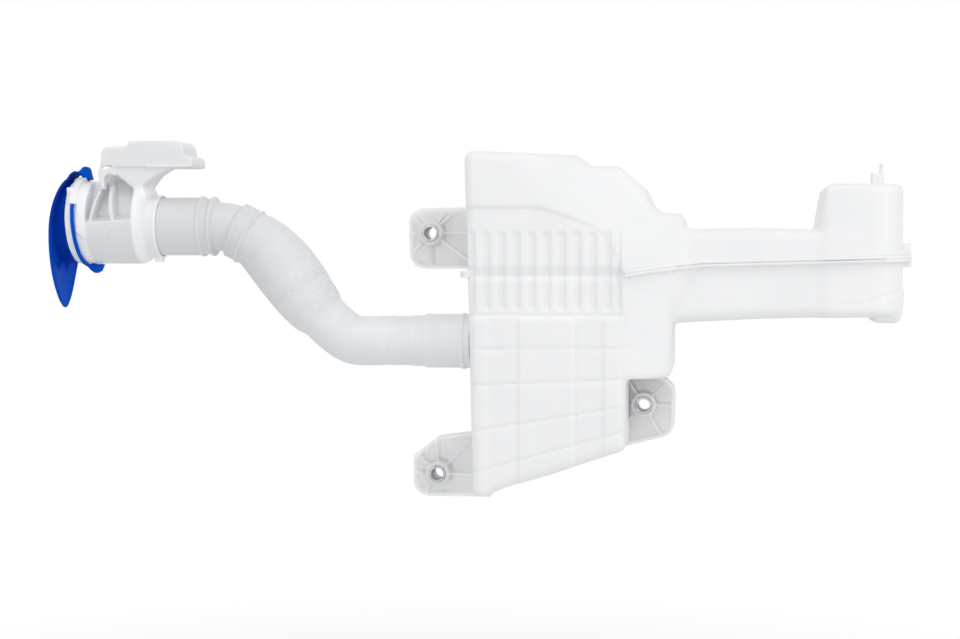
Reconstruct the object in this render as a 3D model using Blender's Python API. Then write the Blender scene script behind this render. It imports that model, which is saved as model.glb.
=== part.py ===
"""Washer fluid reservoir with a bellows filler hose, a filler head and a hinged cap.

The tank is two mouldings welded at a flange. Three lugs with steel bushes bolt it to the vehicle body.
Metres, +Z up. The origin is the axis of the upper left bush, on the rear face that meets the vehicle body.
The tank lies along +X, the filler along -X, and -Y is the outer side, away from the body.
"""

import math

import bmesh
import bpy
from mathutils import Matrix, Vector

MM = 0.001

# Fits
SEAT_GAP = 0.3 * MM          # between pieces that touch on the real object
ARC_STEPS = 3                # facets of a rounded corner

# Bolts and bushes, as x and z of each bolt axis
BOLT_UPPER_LEFT = (0.0, 0.0)
BOLT_LOWER_LEFT = (4.8 * MM, -169.2 * MM)
BOLT_LOWER_RIGHT = (149.4 * MM, -119.4 * MM)
BUSH_BORE = 8.6 * MM
BUSH_OUTER = 11.6 * MM
BUSH_LENGTH = 23.0 * MM
BUSH_SIDES = 16
BOSS_WALL = 2.6 * MM
LUG_WALL = 2.0 * MM
LUG_FLOOR = 2.4 * MM
LUG_DEPTH = 21.0 * MM
WEB_THICKNESS = 1.1 * MM

# Tank
WALL = 3.0 * MM
TANK_FRONT = -72.0 * MM
TANK_BACK = 40.0 * MM
EDGE_RADIUS = 7.0 * MM
CHAMBER_LEFT = 31.0 * MM
CHAMBER_TOP = 55.0 * MM
CHAMBER_RIGHT = 177.5 * MM
CHAMBER_FOOT_Z = -182.4 * MM
CHAMBER_TOE_Z = -146.0 * MM
PANEL_RIGHT = 139.0 * MM
HIP_Z = 12.6 * MM
SHELF_Z = 44.8 * MM
LOWER_RIGHT = 170.6 * MM
LOWER_RIGHT_Z = -98.6 * MM
SHOULDER_ANGLE = math.radians(27)
SIDE_ANGLE = math.radians(33)

# Arm and pump block
ARM_FRONT = -46.0 * MM
ARM_BACK = 36.0 * MM
ARM_TOP = 1.6 * MM
ARM_BOTTOM = -58.8 * MM
ARM_EDGE = 8.0 * MM
BLOCK_RIGHT = 324.3 * MM
BLOCK_WIDTH = 59.3 * MM
BLOCK_LEFT = BLOCK_RIGHT - BLOCK_WIDTH
BLOCK_TOP = 32.4 * MM
BLOCK_BOTTOM = -56.4 * MM
BLOCK_LEAN = 5.5 * MM
BLOCK_END_RADIUS = 24.0 * MM
SUMP_WIDTH = 21.3 * MM
SUMP_LEFT = BLOCK_RIGHT - SUMP_WIDTH
SUMP_BOTTOM = -61.5 * MM
SUMP_INSET = 13.0 * MM
PUMP_PORT_BORE = 20.0 * MM
PUMP_BOSS_WALL = 3.0 * MM
PUMP_BOSS_REACH = 4.0 * MM
PUMP_PORT_Z = -42.0 * MM
PORT_SIDES = 20
GROMMET_BORE = 12.0 * MM
GROMMET_LIP = 3.0 * MM
GROMMET_LIP_THICKNESS = 2.0 * MM

# Weld seam
SEAM_Z = -28.4 * MM
SEAM_ARM_Z = -21.4 * MM
SEAM_END_Z = -17.6 * MM
FLANGE_REACH = 6.0 * MM
FLANGE_THICKNESS = 2.3 * MM   # of each half
VALLEY_ABOVE = 6.0 * MM       # the weld lies in a valley of the front panel
VALLEY_BELOW = 2.0 * MM
VALLEY_DEPTH = 1.6 * MM
EAR_DEPTH = 18.0 * MM
EAR_HEIGHT = 10.0 * MM
EAR_THICKNESS = 9.2 * MM
SEAM_GAP = SEAT_GAP

# Front panel relief
POCKET_DEPTH = 1.0 * MM
POCKET_TOP = 17.0 * MM
FLUTE_PITCH = 10.2 * MM
FLUTE_WIDTH = 5.2 * MM
FLUTE_DEPTH = 1.8 * MM
FLUTE_TOP = 1.0 * MM
FLUTE_BOTTOM = -54.0 * MM
COLUMN_DEPTH = 1.2 * MM
GROOVE_WIDTH = 1.4 * MM
GROOVE_DEPTH = 1.9 * MM

# Filler hose
HOSE_Y = -19.0 * MM
HOSE_WALL = 1.9 * MM
HOSE_SIDES = 16
HOSE_Z = 5.0 * MM
HOSE_RADIUS = 17.0 * MM
CUFF_RADIUS = 20.6 * MM
BELLOWS_RADIUS = 22.9 * MM
BELLOWS_NECK = 18.0 * MM
BELLOWS_START = 72.0 * MM
BELLOWS_END = 146.0 * MM
BELLOWS_PITCH = 2.6 * MM
BELLOWS_RIB = 0.75 * MM
BEAD_HEIGHT = 0.9 * MM
HOSE_START = -201.0 * MM
INLET_Z = -75.6 * MM
INLET_CUFF_RADIUS = 18.7 * MM
HOSE_END = 29.4 * MM

# Inlet pipe
INLET_RADIUS = INLET_CUFF_RADIUS - HOSE_WALL - 0.5 * MM
INLET_WALL = 2.2 * MM
INLET_REACH = 27.0 * MM
INLET_DEPTH = 8.0 * MM
INLET_SHOULDER = 3.0 * MM
SEAL_WIDTH = 3.0 * MM
SEAL_DEPTH = 1.4 * MM
SEAL_INSET = 10.0 * MM

# Filler head
HEAD_RADIUS = 29.5 * MM
HEAD_Z = 8.0 * MM
HEAD_SIDES = 27
HEAD_WALL = 2.4 * MM
HEAD_RIGHT = -201.5 * MM
MOUTH_X = -256.7 * MM
MOUTH_TILT = math.radians(10.6)
COLLAR_WALL = 1.3 * MM
COLLAR_RIGHT = -193.0 * MM
RECESS_LEFT = -242.0 * MM
RECESS_RIGHT = -209.5 * MM
RECESS_FLOOR = 12.5 * MM      # where the floor meets the rear wall
RECESS_SLOPE = math.radians(18.5)
RECESS_Y = -36.0 * MM
HEAD_RIB = 2.0 * MM

# Bracket platform on the filler head
PLATFORM_LEFT = -232.8 * MM
PLATFORM_TOP = 65.0 * MM
PLATFORM_BOTTOM = 46.4 * MM
PLATFORM_RIGHT = -173.0 * MM
PLATFORM_FRONT = -40.0 * MM
PLATFORM_BACK = -4.0 * MM
PLATFORM_WALL = 2.2 * MM
LEDGE_RIGHT = -166.4 * MM
LEDGE_TOP = 54.4 * MM

# Cap
CAP_RADIUS = 33.0 * MM
CAP_LENGTH = 61.0 * MM
CAP_SHEET = 2.0 * MM
CAP_DOME = 3.0 * MM
CAP_LEAN = math.radians(4.2)
CAP_SIDES = 28
PLUG_CLEARANCE = 1.6 * MM
PLUG_DEPTH = 2.5 * MM
PLUG_WALL = 1.8 * MM
HINGE_X = -257.2 * MM
HINGE_RISE = 6.1 * MM
HINGE_Z = HEAD_Z + HEAD_RADIUS + HINGE_RISE
HINGE_RADIUS = 1.1 * MM
STRAP_WIDTH = 16.0 * MM
STRAP_THICKNESS = 1.6 * MM
RING_X = -250.5 * MM
RING_TILT = math.radians(3.8)
RING_BAND = 2.0 * MM
RING_WIDTH = 2.0 * MM
KNOB_RADIUS = 5.3 * MM
GRIP_LENGTH = 13.5 * MM
GRIP_DROP = 7.6 * MM
GRIP_WIDTH = 10.0 * MM


# Clear the scene that the script is started in
for old in list(bpy.data.objects):
    bpy.data.objects.remove(old)


def material(name, colour, roughness, metallic=0.0):
    """A plain Principled material."""
    made = bpy.data.materials.new(name)
    made.use_nodes = True
    shader = made.node_tree.nodes["Principled BSDF"]
    shader.inputs["Base Color"].default_value = (*colour, 1.0)
    shader.inputs["Roughness"].default_value = roughness
    shader.inputs["Metallic"].default_value = metallic
    return made


TANK_PLASTIC = material("natural_polyethylene", (0.86, 0.88, 0.88), 0.42)
HOSE_PLASTIC = material("soft_polyethylene", (0.80, 0.82, 0.83), 0.48)
HEAD_PLASTIC = material("white_polypropylene", (0.78, 0.79, 0.79), 0.40)
CAP_PLASTIC = material("blue_polypropylene", (0.01, 0.08, 0.62), 0.35)
BUSH_STEEL = material("zinc_plated_steel", (0.45, 0.46, 0.47), 0.30, 1.0)
RUBBER = material("black_rubber", (0.02, 0.02, 0.02), 0.70)


def mesh_object(name, verts, faces):
    """An object made from points and faces."""
    mesh = bpy.data.meshes.new(name)
    mesh.from_pydata([tuple(v) for v in verts], [], faces)
    made = bpy.data.objects.new(name, mesh)
    bpy.context.scene.collection.objects.link(made)
    return made


def outward(obj):
    """Turns every face of a closed mesh outward."""
    bm = bmesh.new()
    bm.from_mesh(obj.data)
    bmesh.ops.recalc_face_normals(bm, faces=bm.faces)
    bm.to_mesh(obj.data)
    bm.free()
    return obj


def loft(name, sections):
    """A closed solid through rings of points that all have the same count."""
    count = len(sections[0])
    verts = [p for ring in sections for p in ring]
    faces = [tuple(range(count))]
    for level in range(len(sections) - 1):
        for i in range(count):
            j = (i + 1) % count
            base = level * count
            faces.append((base + i, base + j, base + count + j, base + count + i))
    faces.append(tuple(range((len(sections) - 1) * count, len(sections) * count)))
    return outward(mesh_object(name, verts, faces))


def revolve(name, profile, sides=32, axis="x", centre=(0, 0, 0)):
    """A turned solid. The profile is a closed loop of (along the axis, radius)."""
    verts = []
    for side in range(sides):
        angle = 2 * math.pi * side / sides
        for along, radius in profile:
            across, high = radius * math.cos(angle), radius * math.sin(angle)
            point = (along, across, high) if axis == "x" else (across, along, high)
            verts.append(Vector(point) + Vector(centre))
    count = len(profile)
    faces = []
    for side in range(sides):
        follow = (side + 1) % sides
        for i in range(count):
            j = (i + 1) % count
            faces.append((side * count + i, side * count + j, follow * count + j, follow * count + i))
    return outward(mesh_object(name, verts, faces))


def tube(name, start, end, inner, outer, sides=32, axis="x", centre=(0, 0, 0)):
    """A straight pipe."""
    return revolve(name, [(start, inner), (end, inner), (end, outer), (start, outer)], sides, axis, centre)


def rod(name, start, end, radius, sides=32, axis="x", centre=(0, 0, 0)):
    """A straight solid bar."""
    ring = [2 * math.pi * i / sides for i in range(sides)]
    rings = []
    for along in (start, end):
        if axis == "x":
            rings.append([Vector(centre) + Vector((along, radius * math.cos(a), radius * math.sin(a))) for a in ring])
        else:
            rings.append([Vector(centre) + Vector((radius * math.cos(a), along, radius * math.sin(a))) for a in ring])
    return loft(name, rings)


def block(name, low, high):
    """A plain box between two corners."""
    (x0, y0, z0), (x1, y1, z1) = low, high
    rings = [[Vector((x, y, z)) for x, y in ((x0, y0), (x1, y0), (x1, y1), (x0, y1))] for z in (z0, z1)]
    return loft(name, rings)


def beam(name, start, end, width, front, back):
    """A straight strip in the XZ plane from start to end, between two depths."""
    a, b = Vector((start[0], 0, start[1])), Vector((end[0], 0, end[1]))
    side = (b - a).normalized().cross(Vector((0, 1, 0))) * (width / 2)
    rings = [[p + Vector((0, y, 0)) for p in (a - side, b - side, b + side, a + side)] for y in (front, back)]
    return loft(name, rings)


def rounded(corners, arc_steps=ARC_STEPS):
    """The points of a closed outline whose corners are (x, z, radius)."""
    points = []
    count = len(corners)
    for i, (x, z, radius) in enumerate(corners):
        here = Vector((x, z))
        before = (Vector(corners[i - 1][:2]) - here).normalized()
        after = (Vector(corners[(i + 1) % count][:2]) - here).normalized()
        if radius <= 0:
            points.append(here)
            continue
        half = before.angle(after) / 2
        reach = radius / math.tan(half)
        centre = here + (before + after).normalized() * (radius / math.sin(half))
        start, end = here + before * reach - centre, here + after * reach - centre
        sweep = start.angle_signed(end)
        for step in range(arc_steps + 1):
            turn = Matrix.Rotation(-sweep * step / arc_steps, 2)
            points.append(centre + turn @ start)
    return points


def inset(corners, distance):
    """The same corners with every edge moved inward, or outward for a negative distance."""
    count = len(corners)
    area = sum(corners[i - 1][0] * corners[i][1] - corners[i][0] * corners[i - 1][1] for i in range(count))
    turn = 1 if area > 0 else -1
    moved = []
    for i, (x, z, radius) in enumerate(corners):
        here = Vector((x, z))
        before = (here - Vector(corners[i - 1][:2])).normalized()
        after = (Vector(corners[(i + 1) % count][:2]) - here).normalized()
        inward_before = Vector((-before.y, before.x)) * turn
        inward_after = Vector((-after.y, after.x)) * turn
        bisector = (inward_before + inward_after).normalized()
        point = here + bisector * (distance / bisector.dot(inward_before))
        convex = (before.x * after.y - before.y * after.x) * turn > 0
        if radius > 0:
            radius = max(radius - distance if convex else radius + distance, 0.3 * MM)
        moved.append((point.x, point.y, radius))
    return moved


def slab(name, corners, front, back, edge=0.0, steps=2, arc_steps=ARC_STEPS):
    """An XZ outline between two depths, with its front and back edges rounded."""
    levels = [(front, 0.0), (back, 0.0)]
    if edge > 0:
        turns = [math.pi / 2 * i / steps for i in range(steps + 1)]
        rise = [(edge * (1 - math.sin(t)), edge * (1 - math.cos(t))) for t in turns]
        levels = [(front + depth, shrink) for shrink, depth in rise]
        levels += [(back - depth, shrink) for shrink, depth in reversed(rise)]
    rings = [[Vector((p.x, y, p.y)) for p in rounded(inset(corners, shrink), arc_steps)]
             for y, shrink in levels]
    return loft(name, rings)


def combine(base, operation, *tools):
    """Applies exact Booleans to base, and removes the tools."""
    for tool in tools:
        step = base.modifiers.new("join", "BOOLEAN")
        step.operation = operation
        step.object = tool
    graph = bpy.context.evaluated_depsgraph_get()
    graph.update()
    mesh = bpy.data.meshes.new_from_object(base.evaluated_get(graph))
    base.modifiers.clear()
    base.data = mesh
    for tool in tools:
        bpy.data.objects.remove(tool)
    return base


def beyond(name, point, normal):
    """A large cube on the far side of a plane, for cutting a slope."""
    size = 0.5
    made = block(name, (-size, -size, 0), (size, size, size))
    turn = Vector((0, 0, 1)).rotation_difference(Vector(normal)).to_matrix().to_4x4()
    made.data.transform(Matrix.Translation(point) @ turn)
    return made


def grouped(pieces):
    """One object from solids that don't touch each other."""
    bm = bmesh.new()
    for piece in pieces:
        bm.from_mesh(piece.data)
    group = pieces[0]
    bm.to_mesh(group.data)
    bm.free()
    for piece in pieces[1:]:
        bpy.data.objects.remove(piece)
    return group


def copied(obj):
    """A second object with the same mesh."""
    twin = obj.copy()
    twin.data = obj.data.copy()
    bpy.context.scene.collection.objects.link(twin)
    return twin


def finish(obj, name, look, sharp=35):
    """Names a finished sub-part, and gives it its material and shading."""
    obj.name = name
    obj.data.name = name
    obj.data.materials.clear()
    obj.data.materials.append(look)
    obj.data.shade_smooth()
    obj.data.set_sharp_from_angle(angle=math.radians(sharp))
    return obj


# Tank

def chamber_corners():
    """Outline of the main chamber, seen from the front, clockwise from the top left."""
    return [
        (CHAMBER_LEFT - 0.8 * MM, CHAMBER_TOP, 6 * MM),
        (105.8 * MM, CHAMBER_TOP - 3.2 * MM, 3 * MM),
        (113.6 * MM, SHELF_Z, 3 * MM),
        (133.5 * MM, SHELF_Z, 5 * MM),
        (151.0 * MM, 29.8 * MM, 6 * MM),
        (156.5 * MM, HIP_Z + 0.4 * MM, 9 * MM),
        (CHAMBER_RIGHT, HIP_Z, 4 * MM),
        (CHAMBER_RIGHT + 0.5 * MM, -30 * MM, 0),
        (LOWER_RIGHT, -52 * MM, 0),
        (LOWER_RIGHT, LOWER_RIGHT_Z, 5 * MM),
        (PANEL_RIGHT, LOWER_RIGHT_Z, 3 * MM),
        (PANEL_RIGHT, CHAMBER_TOE_Z, 4 * MM),
        (90 * MM, -163 * MM, 30 * MM),
        (58 * MM, -172.6 * MM, 30 * MM),
        (CHAMBER_LEFT + 5.2 * MM, CHAMBER_FOOT_Z, 5 * MM),
        (CHAMBER_LEFT + 3.2 * MM, -92 * MM, 0),
    ]


def arm_corners():
    """Outline of the arm from inside the chamber to inside the pump block."""
    return [
        (150 * MM, ARM_TOP, 0),
        (222 * MM, ARM_TOP + 1.2 * MM, 0),
        (BLOCK_RIGHT - 34 * MM, ARM_TOP - 1.0 * MM, 0),
        (BLOCK_RIGHT - 34 * MM, BLOCK_BOTTOM, 0),
        (222 * MM, ARM_BOTTOM, 0),
        (150 * MM, ARM_BOTTOM - 4.0 * MM, 0),
    ]


def sump_corners():
    """Outline of the sump foot under the pump block."""
    return [
        (SUMP_LEFT - 1 * MM, BLOCK_BOTTOM + 14 * MM, 0),
        (SUMP_LEFT + 1.5 * MM, SUMP_BOTTOM, 3 * MM),
        (BLOCK_RIGHT - 1.5 * MM, SUMP_BOTTOM, 4 * MM),
        (BLOCK_RIGHT, BLOCK_BOTTOM + 14 * MM, 0),
    ]


def pump_block(thickness):
    """The upright block at the end of the arm: a plan outline that narrows upward, with a rounded top."""
    def plan(grow, lean):
        left, right = BLOCK_LEFT + lean, BLOCK_RIGHT
        front, back = ARM_FRONT - 0.5 * MM, ARM_BACK + 0.5 * MM
        corners = [(left, front, 8 * MM), (right, front, BLOCK_END_RADIUS),
                   (right, back, BLOCK_END_RADIUS), (left, back, 8 * MM)]
        return rounded(inset(corners, thickness + grow), 2 if thickness > 0 else ARC_STEPS + 1)

    levels = [(BLOCK_BOTTOM + thickness, 4 * MM), (BLOCK_BOTTOM + thickness + 4 * MM, 0.0)]
    crown = 5 * MM
    for i in range(3):
        t = math.pi / 2 * i / 2
        levels.append((BLOCK_TOP - thickness - crown * (1 - math.sin(t)), crown * (1 - math.cos(t))))
    rings = []
    for z, grow in levels:
        lean = BLOCK_LEAN * max(0.0, (z - ARM_TOP) / (BLOCK_TOP - ARM_TOP))
        rings.append([Vector((p.x, p.y, z)) for p in plan(grow, lean)])
    return loft("pump_block", rings)


def tank_form(thickness):
    """The whole tank as one solid, with every face moved inward by a thickness. Its inside has plainer edges."""
    steps = 1 if thickness > 0 else 2
    form = slab("form", inset(chamber_corners(), thickness), TANK_FRONT + thickness, TANK_BACK - thickness,
                EDGE_RADIUS - min(thickness, EDGE_RADIUS / 2), steps, steps + 1)
    shoulder = Vector((0.688, 0, 0.725)) * math.sin(SHOULDER_ANGLE) + Vector((0, -1, 0)) * math.cos(SHOULDER_ANGLE)
    shoulder_point = Vector((122 * MM, TANK_FRONT, 1 * MM)) - shoulder.normalized() * thickness
    side = Vector((math.sin(SIDE_ANGLE), -math.cos(SIDE_ANGLE), 0))
    side_point = Vector((PANEL_RIGHT, TANK_FRONT, 0)) - side * thickness
    combine(form, "DIFFERENCE", beyond("shoulder", shoulder_point, shoulder), beyond("side", side_point, side))
    arm = slab("arm", inset(arm_corners(), thickness), ARM_FRONT + thickness, ARM_BACK - thickness,
               ARM_EDGE - min(thickness, ARM_EDGE / 2), steps)
    foot = slab("foot", inset(sump_corners(), thickness), ARM_FRONT + SUMP_INSET + thickness,
                ARM_BACK - SUMP_INSET - thickness, 4 * MM, steps)
    return combine(form, "UNION", arm, pump_block(thickness), foot)


def seam_line(rise):
    """The weld seam seen from the front, moved up by a rise. It climbs where the arm begins."""
    far = 0.5
    return [(-far, SEAM_Z + rise), (PANEL_RIGHT, SEAM_Z + rise), (PANEL_RIGHT + 50 * MM, SEAM_ARM_Z + rise),
            (BLOCK_RIGHT + 10 * MM, SEAM_END_Z + rise), (far, SEAM_END_Z + rise)]


def seam_band(low, high):
    """Everything between two heights over the seam."""
    corners = [(x, z, 0) for x, z in seam_line(low)] + [(x, z, 0) for x, z in reversed(seam_line(high))]
    return slab("band", corners, -0.2, 0.2)


def weld_flange():
    """The flange round the seam. It stops at the front panel, where the weld runs in a valley instead."""
    flange = tank_form(-FLANGE_REACH)
    combine(flange, "INTERSECT", seam_band(-FLANGE_THICKNESS, FLANGE_THICKNESS))
    return combine(flange, "DIFFERENCE", block("front_panel", (-0.1, TANK_FRONT - 0.1, SEAM_Z - 0.1),
                                               (PANEL_RIGHT - 1 * MM, TANK_FRONT + EDGE_RADIUS, SEAM_Z + 0.1)))


def weld_valley():
    """The valley of the front panel in which the weld runs."""
    return block("valley", (-0.1, TANK_FRONT - 0.1, SEAM_Z - VALLEY_BELOW),
                 (PANEL_RIGHT - 2 * MM, TANK_FRONT + VALLEY_DEPTH, SEAM_Z + VALLEY_ABOVE))


def panel_pocket():
    """The shallow pocket of the upper front panel, with its arched top edge."""
    corners = [(CHAMBER_LEFT - 20 * MM, SEAM_Z, 0), (CHAMBER_LEFT - 20 * MM, POCKET_TOP, 0),
               (82 * MM, POCKET_TOP, 40 * MM), (128 * MM, -1 * MM, 26 * MM), (PANEL_RIGHT - 1.5 * MM, SEAM_Z, 0)]
    return slab("pocket", corners, TANK_FRONT - 20 * MM, TANK_FRONT + POCKET_DEPTH)


def panel_flutes():
    """Upright flutes on both sides of the seam."""
    count = int((PANEL_RIGHT - CHAMBER_LEFT - FLUTE_WIDTH) / FLUTE_PITCH)
    cutters = []
    for i in range(count):
        x = CHAMBER_LEFT + FLUTE_PITCH * (i + 0.9)
        radius = FLUTE_WIDTH / 2
        corners = [(x - radius, FLUTE_BOTTOM, radius * 0.9), (x + radius, FLUTE_BOTTOM, radius * 0.9),
                   (x + radius, FLUTE_TOP, radius * 0.9), (x - radius, FLUTE_TOP, radius * 0.9)]
        cutters.append(slab("flute", corners, TANK_FRONT - 20 * MM, TANK_FRONT + FLUTE_DEPTH, arc_steps=1))
    return grouped(cutters)


def panel_columns():
    """Two upright bands of the lower panel that lie a little deeper."""
    bands = [(46.5 * MM, 66.8 * MM), (105.0 * MM, 123.7 * MM)]
    return grouped([block("column", (left, TANK_FRONT - 20 * MM, CHAMBER_FOOT_Z - 20 * MM),
                          (right, TANK_FRONT + COLUMN_DEPTH, FLUTE_BOTTOM - 2.5 * MM)) for left, right in bands])


def panel_grooves():
    """Straight grooves across the front, which lean more towards the foot."""
    left = CHAMBER_LEFT + 4 * MM
    lines = [((left, -55.6 * MM), (PANEL_RIGHT, -55.4 * MM)), ((left, -78.9 * MM), (149 * MM, -77.8 * MM)),
             ((left, -103.5 * MM), (165 * MM, -97.4 * MM)), ((left, -134.6 * MM), (149 * MM, -115.0 * MM)),
             ((left, -162.6 * MM), (PANEL_RIGHT, -133.2 * MM))]
    return grouped([beam("groove", a, b, GROOVE_WIDTH, TANK_FRONT - 20 * MM, TANK_FRONT + GROOVE_DEPTH)
                    for a, b in lines])


def lug(corners, bolt, spokes):
    """A mounting lug: a tray with a rim, a boss for the bush, and webs from the boss to the rim."""
    front = -LUG_DEPTH
    tray = slab("lug", corners, front, -0.5 * MM)
    pocket = slab("pocket", inset(corners, LUG_WALL), front - 5 * MM, -0.5 * MM - LUG_FLOOR)
    combine(tray, "DIFFERENCE", pocket)
    boss_radius = BUSH_OUTER / 2 + SEAT_GAP + BOSS_WALL
    centre = (bolt[0], 0, bolt[1])
    webs = []
    for angle in spokes:
        toward = Vector((math.cos(math.radians(angle)), math.sin(math.radians(angle))))
        start, end = Vector(bolt) + toward * (boss_radius - 1 * MM), Vector(bolt) + toward * 60 * MM
        webs.append(beam("web", start, end, WEB_THICKNESS, front + 0.6 * MM, -LUG_FLOOR))
    outline = slab("trim", inset(corners, LUG_WALL / 2), front - 5 * MM, 5 * MM)
    fan = combine(grouped(webs), "INTERSECT", outline)
    boss = rod("boss", -BUSH_LENGTH + 0.5 * MM, -0.5 * MM, boss_radius, BUSH_SIDES, "y", centre)
    combine(tray, "UNION", fan, boss)
    hole = rod("hole", -BUSH_LENGTH - 5 * MM, 5 * MM, BUSH_OUTER / 2 + SEAT_GAP, BUSH_SIDES, "y", centre)
    return combine(tray, "DIFFERENCE", hole)


def upper_left_lug():
    x, z = BOLT_UPPER_LEFT
    corners = [(CHAMBER_LEFT + 4 * MM, z + 18.3 * MM, 0), (x - 15.6 * MM, z + 17.2 * MM, 10 * MM),
               (x - 14.4 * MM, z - 24.9 * MM, 11 * MM), (CHAMBER_LEFT + 4 * MM, z - 24.9 * MM, 0)]
    return lug(corners, BOLT_UPPER_LEFT, (0, 42, 55, 138, 180, 226, 270, 324))


def lower_left_lug():
    x, z = BOLT_LOWER_LEFT
    corners = [(CHAMBER_LEFT + 9 * MM, z + 30.3 * MM, 0), (x - 0.5 * MM, z + 25.6 * MM, 3 * MM),
               (x - 17.0 * MM, z + 12.6 * MM, 2 * MM), (x - 17.0 * MM, z - 15.8 * MM, 11 * MM),
               (CHAMBER_LEFT + 9 * MM, z - 15.8 * MM, 0)]
    return lug(corners, BOLT_LOWER_LEFT, (-2, 46, 93, 138, 180, 237))


def lower_right_lug():
    x, z = BOLT_LOWER_RIGHT
    corners = [(PANEL_RIGHT - 4 * MM, z + 19.8 * MM, 0), (x + 21.6 * MM, z + 19.8 * MM, 12 * MM),
               (x + 21.0 * MM, z - 20.0 * MM, 11 * MM), (PANEL_RIGHT - 4 * MM, z - 29.0 * MM, 0)]
    return lug(corners, BOLT_LOWER_RIGHT, (0, 45, 122, 180, 225))


def harness_clip():
    """The open clip on top of the pump block."""
    x = BLOCK_RIGHT - 20.7 * MM
    z = BLOCK_TOP
    points = [(0, -3), (0, 9.4), (2.2, 7.6), (5.4, 7.6), (6.2, 15.0), (7.8, 15.0), (9.0, -3)]
    corners = [(x + a * MM, z + b * MM, 0) for a, b in points]
    return slab("clip", corners, -18 * MM, -6 * MM)


def seam_ear():
    """A small upright ear on the flange at the far end."""
    right = BLOCK_RIGHT + FLANGE_REACH + 0.4 * MM
    return block("ear", (right - EAR_THICKNESS, HOSE_Y - 1 * MM, SEAM_END_Z + SEAM_GAP),
                 (right, HOSE_Y - 1 * MM + EAR_DEPTH, SEAM_END_Z + EAR_HEIGHT))


def make_inlet_pipe():
    """The pipe that the hose cuff slides on: it passes through the tank's wall, the cuff stops at its shoulder,
    and a groove holds its rubber ring."""
    start, end = CHAMBER_LEFT + 2 * MM - INLET_REACH, CHAMBER_LEFT + INLET_DEPTH
    groove = start + SEAL_INSET
    shoulder = HOSE_END + SEAT_GAP
    inner, floor = INLET_RADIUS - INLET_WALL, INLET_RADIUS - SEAL_DEPTH
    profile = [(start, inner), (end, inner), (end, INLET_RADIUS), (shoulder + INLET_SHOULDER, INLET_RADIUS),
               (shoulder + INLET_SHOULDER, INLET_CUFF_RADIUS), (shoulder, INLET_CUFF_RADIUS), (shoulder, INLET_RADIUS),
               (groove + SEAL_WIDTH, INLET_RADIUS), (groove + SEAL_WIDTH, floor), (groove, floor),
               (groove, INLET_RADIUS), (start, INLET_RADIUS)]
    finish(revolve("inlet_pipe", profile, HOSE_SIDES, "x", (0, HOSE_Y, INLET_Z)), "inlet_pipe", TANK_PLASTIC)


def make_tank():
    """Both tank halves, from one hollow solid that the seam divides."""
    tank = tank_form(0)
    combine(tank, "DIFFERENCE", panel_pocket())
    combine(tank, "DIFFERENCE", panel_columns())
    combine(tank, "DIFFERENCE", panel_grooves())
    combine(tank, "DIFFERENCE", panel_flutes())
    combine(tank, "DIFFERENCE", weld_valley())
    boss_radius = PUMP_PORT_BORE / 2 + PUMP_BOSS_WALL
    pump_x = (SUMP_LEFT + BLOCK_RIGHT) / 2 - 6 * MM
    pump_centre = (pump_x, 0, PUMP_PORT_Z)
    boss = rod("boss", ARM_BACK - WALL, ARM_BACK + PUMP_BOSS_REACH, boss_radius, PORT_SIDES, "y", pump_centre)
    combine(tank, "UNION", boss)
    combine(tank, "UNION", weld_flange())
    combine(tank, "UNION", upper_left_lug())
    combine(tank, "UNION", lower_left_lug())
    combine(tank, "UNION", lower_right_lug())
    combine(tank, "UNION", harness_clip())
    combine(tank, "UNION", seam_ear())
    inlet = rod("inlet", 0, CHAMBER_LEFT + 12 * MM, INLET_RADIUS + SEAT_GAP, HOSE_SIDES, "x", (0, HOSE_Y, INLET_Z))
    port = rod("port", ARM_BACK - 12 * MM, ARM_BACK + 20 * MM, PUMP_PORT_BORE / 2, PORT_SIDES, "y", pump_centre)
    combine(tank, "DIFFERENCE", tank_form(WALL))
    combine(tank, "DIFFERENCE", inlet)
    combine(tank, "DIFFERENCE", port)
    upper = copied(tank)
    combine(upper, "INTERSECT", seam_band(SEAM_GAP / 2, 0.3))
    combine(tank, "DIFFERENCE", seam_band(-SEAM_GAP / 2, 0.3))
    finish(upper, "upper_shell", TANK_PLASTIC)
    finish(tank, "lower_shell", TANK_PLASTIC)


def make_bushes():
    """Steel bushes that take the bolt load."""
    for name, bolt in (("bush_upper_left", BOLT_UPPER_LEFT), ("bush_lower_left", BOLT_LOWER_LEFT),
                       ("bush_lower_right", BOLT_LOWER_RIGHT)):
        bush = tube(name, -BUSH_LENGTH, 0, BUSH_BORE / 2, BUSH_OUTER / 2, BUSH_SIDES, "y", (bolt[0], 0, bolt[1]))
        finish(bush, name, BUSH_STEEL)


def make_inlet_seal():
    """The rubber ring between the inlet pipe and the hose cuff."""
    start = CHAMBER_LEFT + 2 * MM - INLET_REACH + SEAL_INSET
    seal = tube("inlet_seal", start + SEAT_GAP, start + SEAL_WIDTH - SEAT_GAP, INLET_RADIUS - SEAL_DEPTH + SEAT_GAP,
                INLET_RADIUS + 0.2 * MM, HOSE_SIDES, "x", (0, HOSE_Y, INLET_Z))
    finish(seal, "inlet_seal", RUBBER)


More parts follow.
